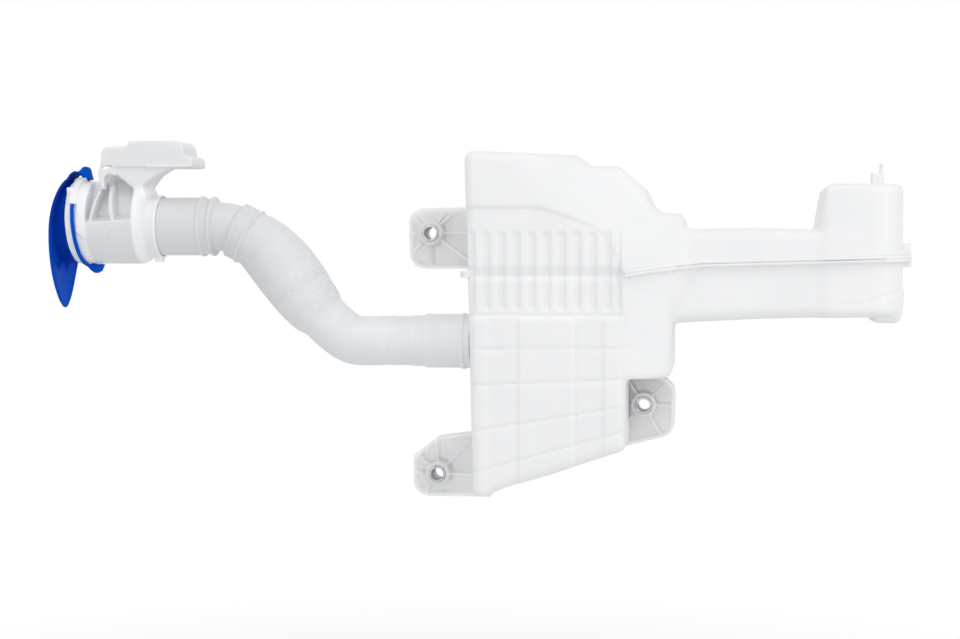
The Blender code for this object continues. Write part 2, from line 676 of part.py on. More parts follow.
def make_pump_grommet():
    """The rubber grommet of the pump port, on the rear of the pump block."""
    x = (SUMP_LEFT + BLOCK_RIGHT) / 2 - 6 * MM
    face = ARM_BACK + PUMP_BOSS_REACH + SEAT_GAP
    radius = PUMP_PORT_BORE / 2 - SEAT_GAP
    profile = [(face + GROMMET_LIP_THICKNESS, GROMMET_BORE / 2), (face + GROMMET_LIP_THICKNESS, radius + GROMMET_LIP),
               (face, radius + GROMMET_LIP), (face, radius), (ARM_BACK - WALL, radius),
               (ARM_BACK - WALL, GROMMET_BORE / 2)]
    finish(revolve("pump_grommet", profile, PORT_SIDES, "y", (x, 0, PUMP_PORT_Z)), "pump_grommet", RUBBER)


# Filler hose

def hose_route():
    """Points of the hose axis in the XZ plane, from the filler head to the tank inlet."""
    bend = [(HOSE_START / MM, 0), (-170, 0), (-158, 0), (-149, -0.4), (-140.4, -1.8), (-131.5, -6.0), (-121, -12.8),
            (-109.8, -24.2), (-98.5, -38.3), (-89.5, -50.3), (-81.0, -59.5), (-69.5, -70.0), (-60.0, -76.4),
            (-50.5, -80.3), (-40, -80.7), (-31, -80.6), (-14, -80.6), (4, -80.6), (HOSE_END / MM, -80.6)]
    drop = (INLET_Z - HOSE_Z) / (-80.6 * MM)
    return [Vector((x * MM, HOSE_Y, HOSE_Z + z * MM * drop)) for x, z in bend]


def smooth_route(points, spacing):
    """Evenly spaced points and directions on a Catmull-Rom curve through the given points."""
    ends = [points[0] * 2 - points[1]] + points + [points[-1] * 2 - points[-2]]
    fine = []
    for i in range(1, len(ends) - 2):
        p0, p1, p2, p3 = ends[i - 1:i + 3]
        for step in range(16):
            t = step / 16
            fine.append(0.5 * (2 * p1 + (p2 - p0) * t + (2 * p0 - 5 * p1 + 4 * p2 - p3) * t ** 2
                               + (3 * p1 - p0 - 3 * p2 + p3) * t ** 3))
    fine.append(points[-1])
    lengths = [0.0]
    for a, b in zip(fine, fine[1:]):
        lengths.append(lengths[-1] + (b - a).length)
    total = lengths[-1]

    def at(distance):
        distance = min(max(distance, 0.0), total)
        i = 0
        while i < len(lengths) - 2 and lengths[i + 1] < distance:
            i += 1
        t = (distance - lengths[i]) / (lengths[i + 1] - lengths[i])
        return fine[i].lerp(fine[i + 1], t)

    def direction(distance):
        return (at(distance + spacing) - at(distance - spacing)).normalized()

    return at, direction, total


def hose_profile(total):
    """Outer and inner radii along the hose: cuffs, beads, the smooth necks and the bellows."""
    left_cuff = 36 * MM
    band = BELLOWS_START - 12 * MM
    right_cuff = total - 32 * MM
    outer = [(0, CUFF_RADIUS), (left_cuff, CUFF_RADIUS), (left_cuff + 1.5 * MM, CUFF_RADIUS + BEAD_HEIGHT),
             (left_cuff + 3 * MM, CUFF_RADIUS - 0.8 * MM), (left_cuff + 7 * MM, CUFF_RADIUS - 0.8 * MM),
             (left_cuff + 9 * MM, CUFF_RADIUS + BEAD_HEIGHT / 2), (left_cuff + 11 * MM, HOSE_RADIUS + 0.6 * MM),
             (band - 1.5 * MM, HOSE_RADIUS + 1.4 * MM)]
    for i in range(3):
        outer += [(band + i * 3.6 * MM, BELLOWS_NECK + 2 * MM), (band + (i + 0.5) * 3.6 * MM, BELLOWS_NECK + 1 * MM)]
    count = int((BELLOWS_END - BELLOWS_START) / BELLOWS_PITCH)
    for i in range(count + 1):
        swell = math.sin(math.pi * (0.06 + 0.84 * i / count))
        crest = BELLOWS_NECK + (BELLOWS_RADIUS - BELLOWS_NECK) * swell
        outer.append((BELLOWS_START + i * BELLOWS_PITCH, crest - BELLOWS_RIB))
        outer.append((BELLOWS_START + (i + 0.5) * BELLOWS_PITCH, crest))
    end = BELLOWS_START + (count + 1) * BELLOWS_PITCH
    outer += [(end + 1.5 * MM, HOSE_RADIUS + 0.6 * MM), (end + 12 * MM, HOSE_RADIUS), (end + 28 * MM, HOSE_RADIUS),
              (right_cuff - 24 * MM, HOSE_RADIUS), (right_cuff - 9.5 * MM, HOSE_RADIUS - 0.4 * MM),
              (right_cuff - 8.5 * MM, HOSE_RADIUS + 0.6 * MM), (right_cuff - 2 * MM, HOSE_RADIUS + 0.6 * MM),
              (right_cuff, INLET_CUFF_RADIUS), (total - 8 * MM, INLET_CUFF_RADIUS),
              (total - 6.5 * MM, INLET_CUFF_RADIUS + BEAD_HEIGHT), (total - 4.5 * MM, INLET_CUFF_RADIUS + BEAD_HEIGHT),
              (total - 3 * MM, INLET_CUFF_RADIUS), (total, INLET_CUFF_RADIUS)]
    inner = [(0, CUFF_RADIUS - HOSE_WALL), (left_cuff - 1 * MM, CUFF_RADIUS - HOSE_WALL),
             (left_cuff + 8 * MM, HOSE_RADIUS - HOSE_WALL), (band, HOSE_RADIUS - HOSE_WALL)]
    for i in range(1, 8):
        distance = band + (BELLOWS_END - band) * i / 8
        inner.append((distance, HOSE_RADIUS - HOSE_WALL + (BELLOWS_RADIUS - BELLOWS_NECK) * math.sin(math.pi * i / 8) / 2))
    inner += [(end + 4 * MM, HOSE_RADIUS - HOSE_WALL), (end + 12 * MM, HOSE_RADIUS - HOSE_WALL),
              (end + 20 * MM, HOSE_RADIUS - HOSE_WALL), (end + 28 * MM, HOSE_RADIUS - HOSE_WALL),
              (end + 38 * MM, HOSE_RADIUS - HOSE_WALL), (right_cuff - 10 * MM, HOSE_RADIUS - HOSE_WALL),
              (right_cuff, INLET_CUFF_RADIUS - HOSE_WALL), (total, INLET_CUFF_RADIUS - HOSE_WALL)]
    return outer, inner


def make_hose():
    """The blow-moulded hose: a tube swept along its route, with rings for every cuff, bead and convolution."""
    at, direction, total = smooth_route(hose_route(), 6 * MM)
    outer, inner = hose_profile(total)
    rings = []
    for distance, radius in outer + list(reversed(inner)):
        centre, along = at(distance), direction(distance)
        across = Vector((0, 1, 0))
        up = along.cross(across)
        turns = [2 * math.pi * i / HOSE_SIDES for i in range(HOSE_SIDES)]
        rings.append([centre + across * (radius * math.cos(a)) + up * (radius * math.sin(a)) for a in turns])
    verts = [p for ring in rings for p in ring]
    faces = []
    for level in range(len(rings)):
        follow = (level + 1) % len(rings)
        for i in range(HOSE_SIDES):
            j = (i + 1) % HOSE_SIDES
            faces.append((level * HOSE_SIDES + i, level * HOSE_SIDES + j, follow * HOSE_SIDES + j,
                          follow * HOSE_SIDES + i))
    hose = outward(mesh_object("filler_hose", verts, faces))
    finish(hose, "filler_hose", HOSE_PLASTIC, 25)


# Filler head

def mouth_centre():
    """The centre of the mouth plane."""
    return Vector((MOUTH_X, HOSE_Y, HEAD_Z))


def head_form(thickness):
    """The body of the filler head: a barrel that narrows to the outlet, with a recess in its upper front."""
    radius = HEAD_RADIUS - thickness
    right = HEAD_RIGHT - thickness
    steps = [(-290 * MM, radius), (right - 5 * MM, radius), (right - 1.5 * MM, radius - 1.5 * MM),
             (right, radius - 5 * MM), (right, 0.4 * MM)]
    sides = HEAD_SIDES
    rings = [[Vector((x, HOSE_Y + r * math.cos(2 * math.pi * i / sides), HEAD_Z + r * math.sin(2 * math.pi * i / sides)))
              for i in range(sides)] for x, r in steps]
    return combine(loft("head_form", rings), "DIFFERENCE", head_recess(thickness))


def head_recess(thickness):
    """The recess in the head's upper front, or that space with a wall round it. Its floor falls to the front."""
    rear, far = RECESS_Y + thickness, 0.1

    def floor(y):
        return RECESS_FLOOR + (y - RECESS_Y) * math.tan(RECESS_SLOPE) - thickness / math.cos(RECESS_SLOPE)

    section = [(-far, floor(-far)), (rear, floor(rear)), (rear, far), (-far, far)]
    return loft("recess", [[Vector((x, y, z)) for y, z in section]
                           for x in (RECESS_LEFT - thickness, RECESS_RIGHT + thickness)])


def head_ribs():
    """Two leaning ribs in the recess, trimmed to the barrel."""
    ribs = []
    low, high = RECESS_FLOOR - 6 * MM, HEAD_Z + HEAD_RADIUS
    for start, lean in ((2.2 * MM, 8.8 * MM), (17.9 * MM, 4.5 * MM)):
        x = RECESS_LEFT + start
        ribs.append(beam("rib", (x, low), (x + lean, high), HEAD_RIB, HOSE_Y - HEAD_RADIUS, RECESS_Y + 1 * MM))
    ribs = grouped(ribs)
    trim = rod("trim", -260 * MM, HEAD_RIGHT - 8 * MM, HEAD_RADIUS - 0.8 * MM, HEAD_SIDES, "x", (0, HOSE_Y, HEAD_Z))
    return combine(ribs, "INTERSECT", trim)


def platform():
    """The bracket platform: a moulded tray that is open at the rear, with a ledge at its right end."""
    corners = [(PLATFORM_LEFT, PLATFORM_BOTTOM, 2 * MM), (PLATFORM_LEFT, PLATFORM_TOP - 4.2 * MM, 5 * MM),
               (PLATFORM_LEFT + 18 * MM, PLATFORM_TOP - 3.6 * MM, 1 * MM),
               (PLATFORM_LEFT + 20.5 * MM, PLATFORM_TOP, 1 * MM), (PLATFORM_RIGHT - 1 * MM, PLATFORM_TOP, 10 * MM),
               (PLATFORM_RIGHT, LEDGE_TOP, 1 * MM), (LEDGE_RIGHT, LEDGE_TOP, 4 * MM),
               (LEDGE_RIGHT, PLATFORM_BOTTOM, 3 * MM)]
    tray = slab("platform", corners, PLATFORM_FRONT, PLATFORM_BACK, 2.0 * MM, 2)
    hollow = slab("hollow", inset(corners, PLATFORM_WALL), PLATFORM_FRONT + PLATFORM_WALL, PLATFORM_BACK + 9 * MM)
    return combine(tray, "DIFFERENCE", hollow)


def gusset():
    """The funnel-shaped web that carries the platform on the barrel."""
    z = PLATFORM_BOTTOM + 1 * MM
    x = PLATFORM_LEFT
    front = slab("gusset", [(x + 5.5 * MM, z, 0), (x + 50.5 * MM, z, 0), (x + 36.5 * MM, z - 8.5 * MM, 2 * MM),
                            (x + 26.0 * MM, z - 15.5 * MM, 2 * MM), (x + 12 * MM, z - 6 * MM, 3 * MM)],
                 PLATFORM_FRONT + 2 * MM, HOSE_Y)
    rear = slab("web", [(x - 1.2 * MM, z, 0), (x - 2.6 * MM, z - 5 * MM, 2 * MM), (x - 1.6 * MM, z - 14 * MM, 0),
                        (x + 33 * MM, z - 14 * MM, 0), (x + 44 * MM, z, 0)], HOSE_Y - 4 * MM, HOSE_Y + 4 * MM)
    eye = block("eye", (x + 1.6 * MM, -0.1, z - 4.2 * MM), (x + 5.4 * MM, 0.1, z - 1.4 * MM))
    return combine(combine(rear, "DIFFERENCE", eye), "UNION", front)


def make_head():
    """The filler head in one moulding, hollow from its mouth to the outlet collar."""
    centre = mouth_centre()
    axis = Matrix.Rotation(-MOUTH_TILT, 4, "Y") @ Vector((-1, 0, 0))
    head = head_form(0)
    collar_outer = CUFF_RADIUS + SEAT_GAP + COLLAR_WALL
    outlet = (0, HOSE_Y, HOSE_Z)
    collar = revolve("collar", [(HEAD_RIGHT - 10 * MM, 5 * MM), (COLLAR_RIGHT, 5 * MM),
                                (COLLAR_RIGHT, collar_outer + 0.8 * MM), (COLLAR_RIGHT - 2 * MM, collar_outer + 0.8 * MM),
                                (COLLAR_RIGHT - 3 * MM, collar_outer), (HEAD_RIGHT - 10 * MM, collar_outer)],
                     HEAD_SIDES, "x", outlet)
    core = rod("core", HEAD_RIGHT - 9 * MM, COLLAR_RIGHT, 6 * MM, HEAD_SIDES, "x", outlet)
    lip = block("lip", (MOUTH_X - 4.5 * MM, HOSE_Y - 13 * MM, HEAD_Z + HEAD_RADIUS - 5 * MM),
                (MOUTH_X + 0.6 * MM, HOSE_Y + 13 * MM, HEAD_Z + HEAD_RADIUS + 1.4 * MM))
    catch = block("catch", (RING_X - 7 * MM, HOSE_Y - HEAD_RADIUS + 1.5 * MM, HEAD_Z + 13 * MM),
                  (RING_X - 3 * MM, HOSE_Y - 15 * MM, HEAD_Z + 25 * MM))
    for piece in (collar, core, head_ribs(), platform(), gusset(), lip, catch):
        combine(head, "UNION", piece)
    hollow = head_form(HEAD_WALL)
    seat = rod("seat", HOSE_START - SEAT_GAP, 0, CUFF_RADIUS + SEAT_GAP, HOSE_SIDES, "x", outlet)
    bore = rod("bore", HEAD_RIGHT - HEAD_WALL - 1 * MM, 0, CUFF_RADIUS - HOSE_WALL, HOSE_SIDES, "x", outlet)
    combine(head, "DIFFERENCE", hollow)
    combine(head, "DIFFERENCE", seat)
    combine(head, "DIFFERENCE", bore)
    combine(head, "DIFFERENCE", beyond("mouth_plane", centre, axis))
    finish(head, "filler_head", HEAD_PLASTIC)


# Cap

def dome(scale):
    """How far the lid's sheet bulges at a share of its radius."""
    return CAP_DOME * (1 - scale ** 2)


def cap_x():
    """Where the lid's sheet stands, so that it rests on the top of the mouth."""
    mouth_top = MOUTH_X - HEAD_RADIUS * math.tan(MOUTH_TILT)
    return mouth_top - SEAT_GAP + dome(HEAD_RADIUS / CAP_RADIUS) - HEAD_RADIUS * math.sin(CAP_LEAN)


def cap_place():
    """Where the lid's sheet lies: the centre of its round upper half, and its lean."""
    return Matrix.Translation((cap_x(), HOSE_Y, HEAD_Z)) @ Matrix.Rotation(CAP_LEAN, 4, "Y")


def mouth_place():
    """The mouth's own frame: its first axis points into the neck."""
    return Matrix.Translation(mouth_centre()) @ Matrix.Rotation(-MOUTH_TILT, 4, "Y")


def lid_ring(scale, depth):
    """One ring of the lid: round above, drawn out below into the pull tab, and bulged towards its centre."""
    ring = []
    for i in range(CAP_SIDES):
        angle = 2 * math.pi * i / CAP_SIDES
        high = math.sin(angle) * (CAP_RADIUS if math.sin(angle) > 0 else CAP_LENGTH)
        ring.append(Vector((depth - dome(scale), CAP_RADIUS * math.cos(angle) * scale, high * scale)))
    return ring


def lid_sheet(name, outer, inner):
    """The domed sheet of the lid between two depths, which count from its inner face towards the mouth."""
    levels = [0.4, 0.8, 1.0]
    rings = [lid_ring(scale, outer) for scale in levels]
    rings += [lid_ring(scale, inner) for scale in reversed(levels)]
    made = loft(name, rings)
    made.data.transform(cap_place())
    return made


def make_cap_lid():
    """The lid: the domed sheet with its pull tab, a skirt down to the mouth, a plug, and the hinge strap."""
    plug_radius = HEAD_RADIUS - HEAD_WALL - PLUG_CLEARANCE
    inner = plug_radius - PLUG_WALL
    reach = -30 * MM
    profile = [(reach, inner), (PLUG_DEPTH, inner), (PLUG_DEPTH, plug_radius), (-SEAT_GAP, plug_radius),
               (-SEAT_GAP, HEAD_RADIUS - 0.5 * MM), (reach, HEAD_RADIUS - 0.5 * MM)]
    skirt = revolve("skirt", profile, 20)
    skirt.data.transform(mouth_place())
    combine(skirt, "INTERSECT", lid_sheet("under_lid", -CAP_SHEET / 2, CAP_LENGTH))
    crest = (cap_x() + 0.6 * MM, HEAD_Z + CAP_RADIUS - 2.0 * MM)
    strap = beam("strap", crest, (HINGE_X, HINGE_Z), STRAP_THICKNESS, HOSE_Y - STRAP_WIDTH / 2, HOSE_Y + STRAP_WIDTH / 2)
    barrel = rod("barrel", -STRAP_WIDTH / 2, STRAP_WIDTH / 2, HINGE_RADIUS, 12, "y", (HINGE_X, HOSE_Y, HINGE_Z))
    lid = lid_sheet("cap_lid", -CAP_SHEET, 0)
    combine(lid, "UNION", skirt)
    combine(lid, "UNION", strap)
    combine(lid, "UNION", barrel)
    lid.data.transform(Matrix.Translation((-HINGE_X, -HOSE_Y, -HINGE_Z)))
    lid.location = (HINGE_X, HOSE_Y, HINGE_Z)
    finish(lid, "cap_lid", CAP_PLASTIC)


def make_cap_ring():
    """The retaining ring round the neck, with the knob that carries the lid's hinge and a grip below."""
    inner = HEAD_RADIUS + SEAT_GAP + 0.2 * MM
    ring = tube("ring", -RING_WIDTH / 2, RING_WIDTH / 2, inner, inner + RING_BAND, HEAD_SIDES)
    ring.data.transform(Matrix.Translation((RING_X, HOSE_Y, HEAD_Z)) @ Matrix.Rotation(-RING_TILT, 4, "Y"))
    knob_x = HINGE_X + HINGE_RADIUS + SEAT_GAP + KNOB_RADIUS
    half = STRAP_WIDTH / 2 + 2 * MM
    knob = rod("knob", -half, half, KNOB_RADIUS, 16, "y", (knob_x, HOSE_Y, HINGE_Z))
    low = HEAD_Z - HEAD_RADIUS
    left = RING_X - RING_WIDTH / 2
    right = left + GRIP_LENGTH
    grip = slab("grip", [(left, low + 3 * MM, 0), (right, low + 3 * MM, 0), (right, low - RING_BAND, 1 * MM),
                         (right - GRIP_LENGTH / 4, low - GRIP_DROP, 1.5 * MM),
                         (left + GRIP_LENGTH / 4, low - GRIP_DROP * 2 / 3, 2 * MM)],
                HOSE_Y - GRIP_WIDTH / 2, HOSE_Y + GRIP_WIDTH / 2)
    combine(ring, "UNION", knob)
    combine(ring, "UNION", grip)
    neck = rod("neck", -0.4, 0, inner, HEAD_SIDES, "x", (0, HOSE_Y, HEAD_Z))
    combine(ring, "DIFFERENCE", neck)
    finish(ring, "cap_retaining_ring", CAP_PLASTIC)


make_tank()
make_bushes()
make_inlet_pipe()
make_inlet_seal()
make_pump_grommet()
make_hose()
make_head()
make_cap_lid()
make_cap_ring()
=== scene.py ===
# %% [markdown]
# # A washer fluid reservoir
# The part is a white tank that hangs under a car's wing. A bellows hose leads up from it to a filler head
# with a blue hinged cap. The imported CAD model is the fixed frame, and this script gives it its surfaces.
# The scene is in metres: the tank lies along +X, the filler along -X, and -Y is the side that we look at.

# %% Load the frame
import math

import bmesh
import bpy
import numpy as np
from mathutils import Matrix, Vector


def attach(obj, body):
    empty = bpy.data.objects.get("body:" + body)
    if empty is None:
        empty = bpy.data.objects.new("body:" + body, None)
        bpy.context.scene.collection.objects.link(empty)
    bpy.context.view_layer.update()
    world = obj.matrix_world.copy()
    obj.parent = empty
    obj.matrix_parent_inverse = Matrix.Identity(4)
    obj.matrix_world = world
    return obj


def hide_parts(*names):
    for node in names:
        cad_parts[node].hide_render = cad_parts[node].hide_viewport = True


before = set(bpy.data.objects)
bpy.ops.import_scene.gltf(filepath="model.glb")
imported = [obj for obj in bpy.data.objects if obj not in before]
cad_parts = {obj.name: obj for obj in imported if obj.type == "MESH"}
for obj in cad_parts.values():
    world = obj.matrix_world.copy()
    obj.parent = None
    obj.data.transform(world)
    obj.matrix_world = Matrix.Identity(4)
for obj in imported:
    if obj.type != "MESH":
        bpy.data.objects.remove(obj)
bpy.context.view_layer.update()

MM = 0.001

# %% [markdown]
# ## Node trees as sums
# Shaders and Geometry Nodes are both graphs of sockets. Writing them link by link hides what they compute,
# so a wire is wrapped in a small class: a plus sign adds a Math node, and so do the other operators.
# Every other kind of node is made by one method, which takes its settings first and its sockets after.

# %% A wire and the graph that it belongs to
class Wire:
    """The output socket of a node, which can be used in sums."""

    def __init__(self, graph, socket):
        self.graph = graph
        self.socket = socket

    def out(self, name):
        """Another output of the same node."""
        return Wire(self.graph, self.socket.node.outputs[name])

    def sum(self, operation, *others):
        """A Math node that takes this value first and the others after."""
        values = {0: self}
        for place, other in enumerate(others):
            values[place + 1] = other
        return self.graph.node("ShaderNodeMath", {"operation": operation}, values)

    def __add__(self, other):
        return self.sum("ADD", other)

    def __sub__(self, other):
        return self.sum("SUBTRACT", other)

    def __mul__(self, other):
        return self.sum("MULTIPLY", other)

    def __truediv__(self, other):
        return self.sum("DIVIDE", other)

    def __lt__(self, other):
        return self.sum("LESS_THAN", other)

    def __rsub__(self, other):
        return self.graph.node("ShaderNodeMath", {"operation": "SUBTRACT"}, {0: other, 1: self})

    __radd__ = __add__
    __rmul__ = __mul__

    def clamped(self):
        """This value held between 0 and 1."""
        return self.sum("MINIMUM", 1.0).sum("MAXIMUM", 0.0)

    def step(self, low, high, start=0.0, end=1.0):
        """A smooth step from start to end while this value goes from low to high."""
        settings = {"interpolation_type": "SMOOTHSTEP"}
        return self.graph.node("ShaderNodeMapRange", settings, {0: self, 1: low, 2: high, 3: start, 4: end})


class Graph:
    """A node tree under construction."""

    def __init__(self, tree):
        self.tree = tree

    def node(self, kind, settings=None, sockets=None, output=0):
        """Makes one node: its settings are set first, then its sockets get their values or links."""
        made = self.tree.nodes.new(kind)
        for name, value in (settings or {}).items():
            if name == "stops":
                while len(made.color_ramp.elements) < len(value):
                    made.color_ramp.elements.new(0.5)
                for element, (place, colour) in zip(made.color_ramp.elements, value):
                    element.position = place
                    element.color = (*colour, 1.0)
            else:
                setattr(made, name, value)
        for name, value in (sockets or {}).items():
            if isinstance(value, Wire):
                self.tree.links.new(value.socket, made.inputs[name])
            else:
                made.inputs[name].default_value = value
        return Wire(self, made.outputs[output]) if len(made.outputs) else made

    def blend(self, factor, first, second):
        """A colour between two colours."""
        return self.node("ShaderNodeMix", {"data_type": "RGBA"}, {0: factor, 6: first, 7: second}, 2)


print("a graph writes its own nodes")

# %% [markdown]
# ## The plastics
# The tank and the hose are moulded polyethylene: white, a little waxy, with soft ripples where the skin met
# the mould and a fine grain. The head is smoother. One recipe with a few numbers serves all of them: two
# close colours in slow patches, roughness that drifts, and two sizes of bump. The hose, head and cap also
# get painted shade, a darker colour in a zone of x and z. Light goes a short way into such plastic, so it
# gets a little subsurface, and the thin webs of the lugs let some light through. The lugs are also painted
# paler than the tank, as painted light in their pockets.

# %% A recipe for moulded plastic
def plastic(name, pale, deep, rough, grain, ripple, subsurface=0.0, reach=0.004, gloss=0.5, wear=None,
            painted_shade=None, thin=0.0):
    """A moulded plastic with slow colour patches, a drifting roughness, fine grain and long ripples.
    A part of it may get painted shade: a darker colour and a rule of x and z that says where. A thin wall
    also lets light through from behind."""
    made = bpy.data.materials.new(name)
    made.use_nodes = True
    graph = Graph(made.node_tree)
    shader = made.node_tree.nodes["Principled BSDF"]
    place = graph.node("ShaderNodeTexCoord").out("Object")
    slow = graph.node("ShaderNodeTexNoise", None, {"Vector": place, "Scale": 22.0, "Detail": 3.0})
    fine = graph.node("ShaderNodeTexNoise", None, {"Vector": place, "Scale": 900.0, "Detail": 2.0})
    wide = graph.node("ShaderNodeTexNoise", None, {"Vector": place, "Scale": 55.0, "Detail": 2.0})
    colour = graph.blend(slow.step(0.35, 0.65), (*deep, 1.0), (*pale, 1.0))
    roughness = rough + (wide - 0.5) * 0.12 + (fine - 0.5) * 0.10
    if wear is not None:
        scuffs = graph.node("ShaderNodeTexNoise", None, {"Vector": place, "Scale": 190.0, "Detail": 6.0})
        worn = scuffs.step(0.58, 0.72)
        colour = graph.blend(worn * 0.5, colour, (*wear, 1.0))
        roughness = roughness + worn * 0.15
    # Painted shade: where the rule says, the colour is darkened toward the given shade colour.
    if painted_shade is not None:
        parts = graph.node("ShaderNodeSeparateXYZ", None, {0: place})
        where = painted_shade[1](parts.out("X"), parts.out("Z"))
        colour = graph.blend(where, colour, (*painted_shade[0], 1.0))
    height = fine * grain + wide * ripple
    bump = graph.node("ShaderNodeBump", None, {"Strength": 1.0, "Distance": 0.001, "Height": height})
    links = made.node_tree.links
    links.new(colour.socket, shader.inputs["Base Color"])
    links.new(roughness.clamped().socket, shader.inputs["Roughness"])
    links.new(bump.socket, shader.inputs["Normal"])
    shader.inputs["Subsurface Weight"].default_value = subsurface
    shader.inputs["Subsurface Radius"].default_value = (1.0, 0.9, 0.8)
    shader.inputs["Subsurface Scale"].default_value = reach
    shader.inputs["Specular IOR Level"].default_value = gloss
    if thin > 0:
        through = graph.node("ShaderNodeBsdfTranslucent", None, {"Color": (0.98, 0.98, 0.98, 1.0)})
        solid = Wire(graph, shader.outputs[0])
        both = graph.node("ShaderNodeMixShader", None, {0: thin, 1: solid, 2: through})
        links.new(both.socket, made.node_tree.nodes["Material Output"].inputs["Surface"])
    return made


def shade_toward_head(px, pz):
    """Painted shade: the hose is darker toward the filler head."""
    return px.step(-0.045, -0.165)


def shadow_beside_neck(px, pz):
    """Painted shadow: the lid is darker blue beside the neck, where the skirt lies in shade."""
    return px.step(-0.2690, -0.2635) * px.step(-0.2560, -0.2570) * pz.step(-0.034, -0.016)


def shade_between_collars(px, pz):
    """Painted shade: the head is darker between its neck and its collar, and a little on the platform."""
    barrel = px.step(-0.2425, -0.2405) * px.step(-0.2070, -0.2090)
    high = pz.step(0.028, 0.036)
    return barrel * (1.0 - high) + high * 0.78


tank_white = plastic("tank_white", (0.89, 0.89, 0.893), (0.865, 0.87, 0.873), 0.42, 0.05, 0.25, 0.2)
# The lugs get a paler copy of the tank's white: painted light for the glow in their pockets, on top of the
# light that their thin walls let through.
lug_white_painted_light = plastic("lug_white_painted_light", (0.985, 0.985, 0.99), (0.97, 0.975, 0.98), 0.42, 0.05, 0.20, 0.15, thin=0.6)
hose_white = plastic("hose_white", (0.86, 0.87, 0.88), (0.81, 0.825, 0.84), 0.46, 0.06, 0.20, 0.15,
                     painted_shade=((0.72, 0.725, 0.735), shade_toward_head))
head_white = plastic("head_white", (0.95, 0.95, 0.955), (0.93, 0.93, 0.935), 0.40, 0.04, 0.05, 0.3, 0.006,
                     painted_shade=((0.78, 0.785, 0.79), shade_between_collars))
cap_blue = plastic("cap_blue", (0.001, 0.092, 0.62), (0.0008, 0.072, 0.52), 0.46, 0.05, 0.04, gloss=0.02,
                   wear=(0.006, 0.12, 0.68), painted_shade=((0.0006, 0.030, 0.32), shadow_beside_neck))
rubber_black = plastic("rubber_black", (0.022, 0.022, 0.023), (0.014, 0.014, 0.015), 0.62, 0.12, 0.08)
plastics = (tank_white, lug_white_painted_light, hose_white, head_white, cap_blue, rubber_black)
print("plastics:", [look.name for look in plastics])

# %% [markdown]
# ## Zinc-plated steel
# The bushes are turned from steel tube and plated. Zinc is a cool grey metal with cloudy spangle, and the
# lathe leaves fine rings round the bolt axis. The rings are a wave of the depth, so they follow the turning.

# %% Zinc-plated steel
def plated_steel(name):
    """Turned steel with a zinc plating."""
    made = bpy.data.materials.new(name)
    made.use_nodes = True
    graph = Graph(made.node_tree)
    shader = made.node_tree.nodes["Principled BSDF"]
    place = graph.node("ShaderNodeTexCoord").out("Object")
    cloud = graph.node("ShaderNodeTexNoise", None, {"Vector": place, "Scale": 420.0, "Detail": 4.0})
    cells = graph.node("ShaderNodeTexVoronoi", None, {"Vector": place, "Scale": 700.0})
    depth = graph.node("ShaderNodeSeparateXYZ", None, {0: place}).out("Y")
    turning = (depth * 26000.0).sum("SINE")
    colour = graph.blend(cloud.step(0.3, 0.7), (0.36, 0.37, 0.385, 1.0), (0.62, 0.63, 0.64, 1.0))
    roughness = 0.30 + cloud * 0.16 + cells * 0.08
    bump = graph.node("ShaderNodeBump", None, {"Distance": 0.0004, "Height": turning * 0.05 + cells * 0.12})
    links = made.node_tree.links
    links.new(colour.socket, shader.inputs["Base Color"])
    links.new(roughness.socket, shader.inputs["Roughness"])
    links.new(bump.socket, shader.inputs["Normal"])
    shader.inputs["Metallic"].default_value = 1.0
    return made


bush_zinc = plated_steel("bush_zinc")
print("metal:", bush_zinc.name)

# %% [markdown]
# ## Materials on the CAD nodes
# A CAD node keeps its mesh, and only its material slots change.

# %% Dress the CAD nodes
looks = {"upper_shell": tank_white, "lower_shell": tank_white, "inlet_pipe": tank_white,
         "filler_hose": hose_white, "filler_head": head_white, "cap_lid": cap_blue,
         "cap_retaining_ring": cap_blue, "bush_upper_left": bush_zinc, "bush_lower_left": bush_zinc,
         "bush_lower_right": bush_zinc, "inlet_seal": rubber_black, "pump_grommet": rubber_black}
for name, look in looks.items():
    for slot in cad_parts[name].material_slots:
        slot.material = look
print("dressed:", len(looks), "nodes")

# %% [markdown]
# ## Shapes from distance
# A moulded skin has no sharp edge: its walls run into each other in soft blends. Boolean cuts leave crisp
# edges, and rounding a hundred of them by hand is slow. So the moulded pieces are written as a distance, one
# number for every point of space that is negative inside the plastic. Two shapes join by taking the smaller
# number, with a little smoothing where they meet. All these numbers are in millimetres.

# %% Outlines and slabs
def outline(corners, steps=8):
    """The points of a closed outline whose corners are (x, z, radius)."""
    points = []
    for i, (x, z, radius) in enumerate(corners):
        here = np.array((x, z), float)
        before = np.array(corners[i - 1][:2], float) - here
        after = np.array(corners[(i + 1) % len(corners)][:2], float) - here
        before /= np.hypot(*before)
        after /= np.hypot(*after)
        half = math.acos(float(np.clip(before @ after, -1, 1))) / 2
        if radius <= 0 or half > 1.55:
            points.append(tuple(here))
            continue
        middle = (before + after) / np.hypot(*(before + after))
        centre = here + middle * radius / math.sin(half)
        start = here + before * radius / math.tan(half) - centre
        end = here + after * radius / math.tan(half) - centre
        for t in np.linspace(0.0, 1.0, steps):
            ray = start * (1 - t) + end * t
            points.append(tuple(centre + ray * radius / np.hypot(*ray)))
    return points


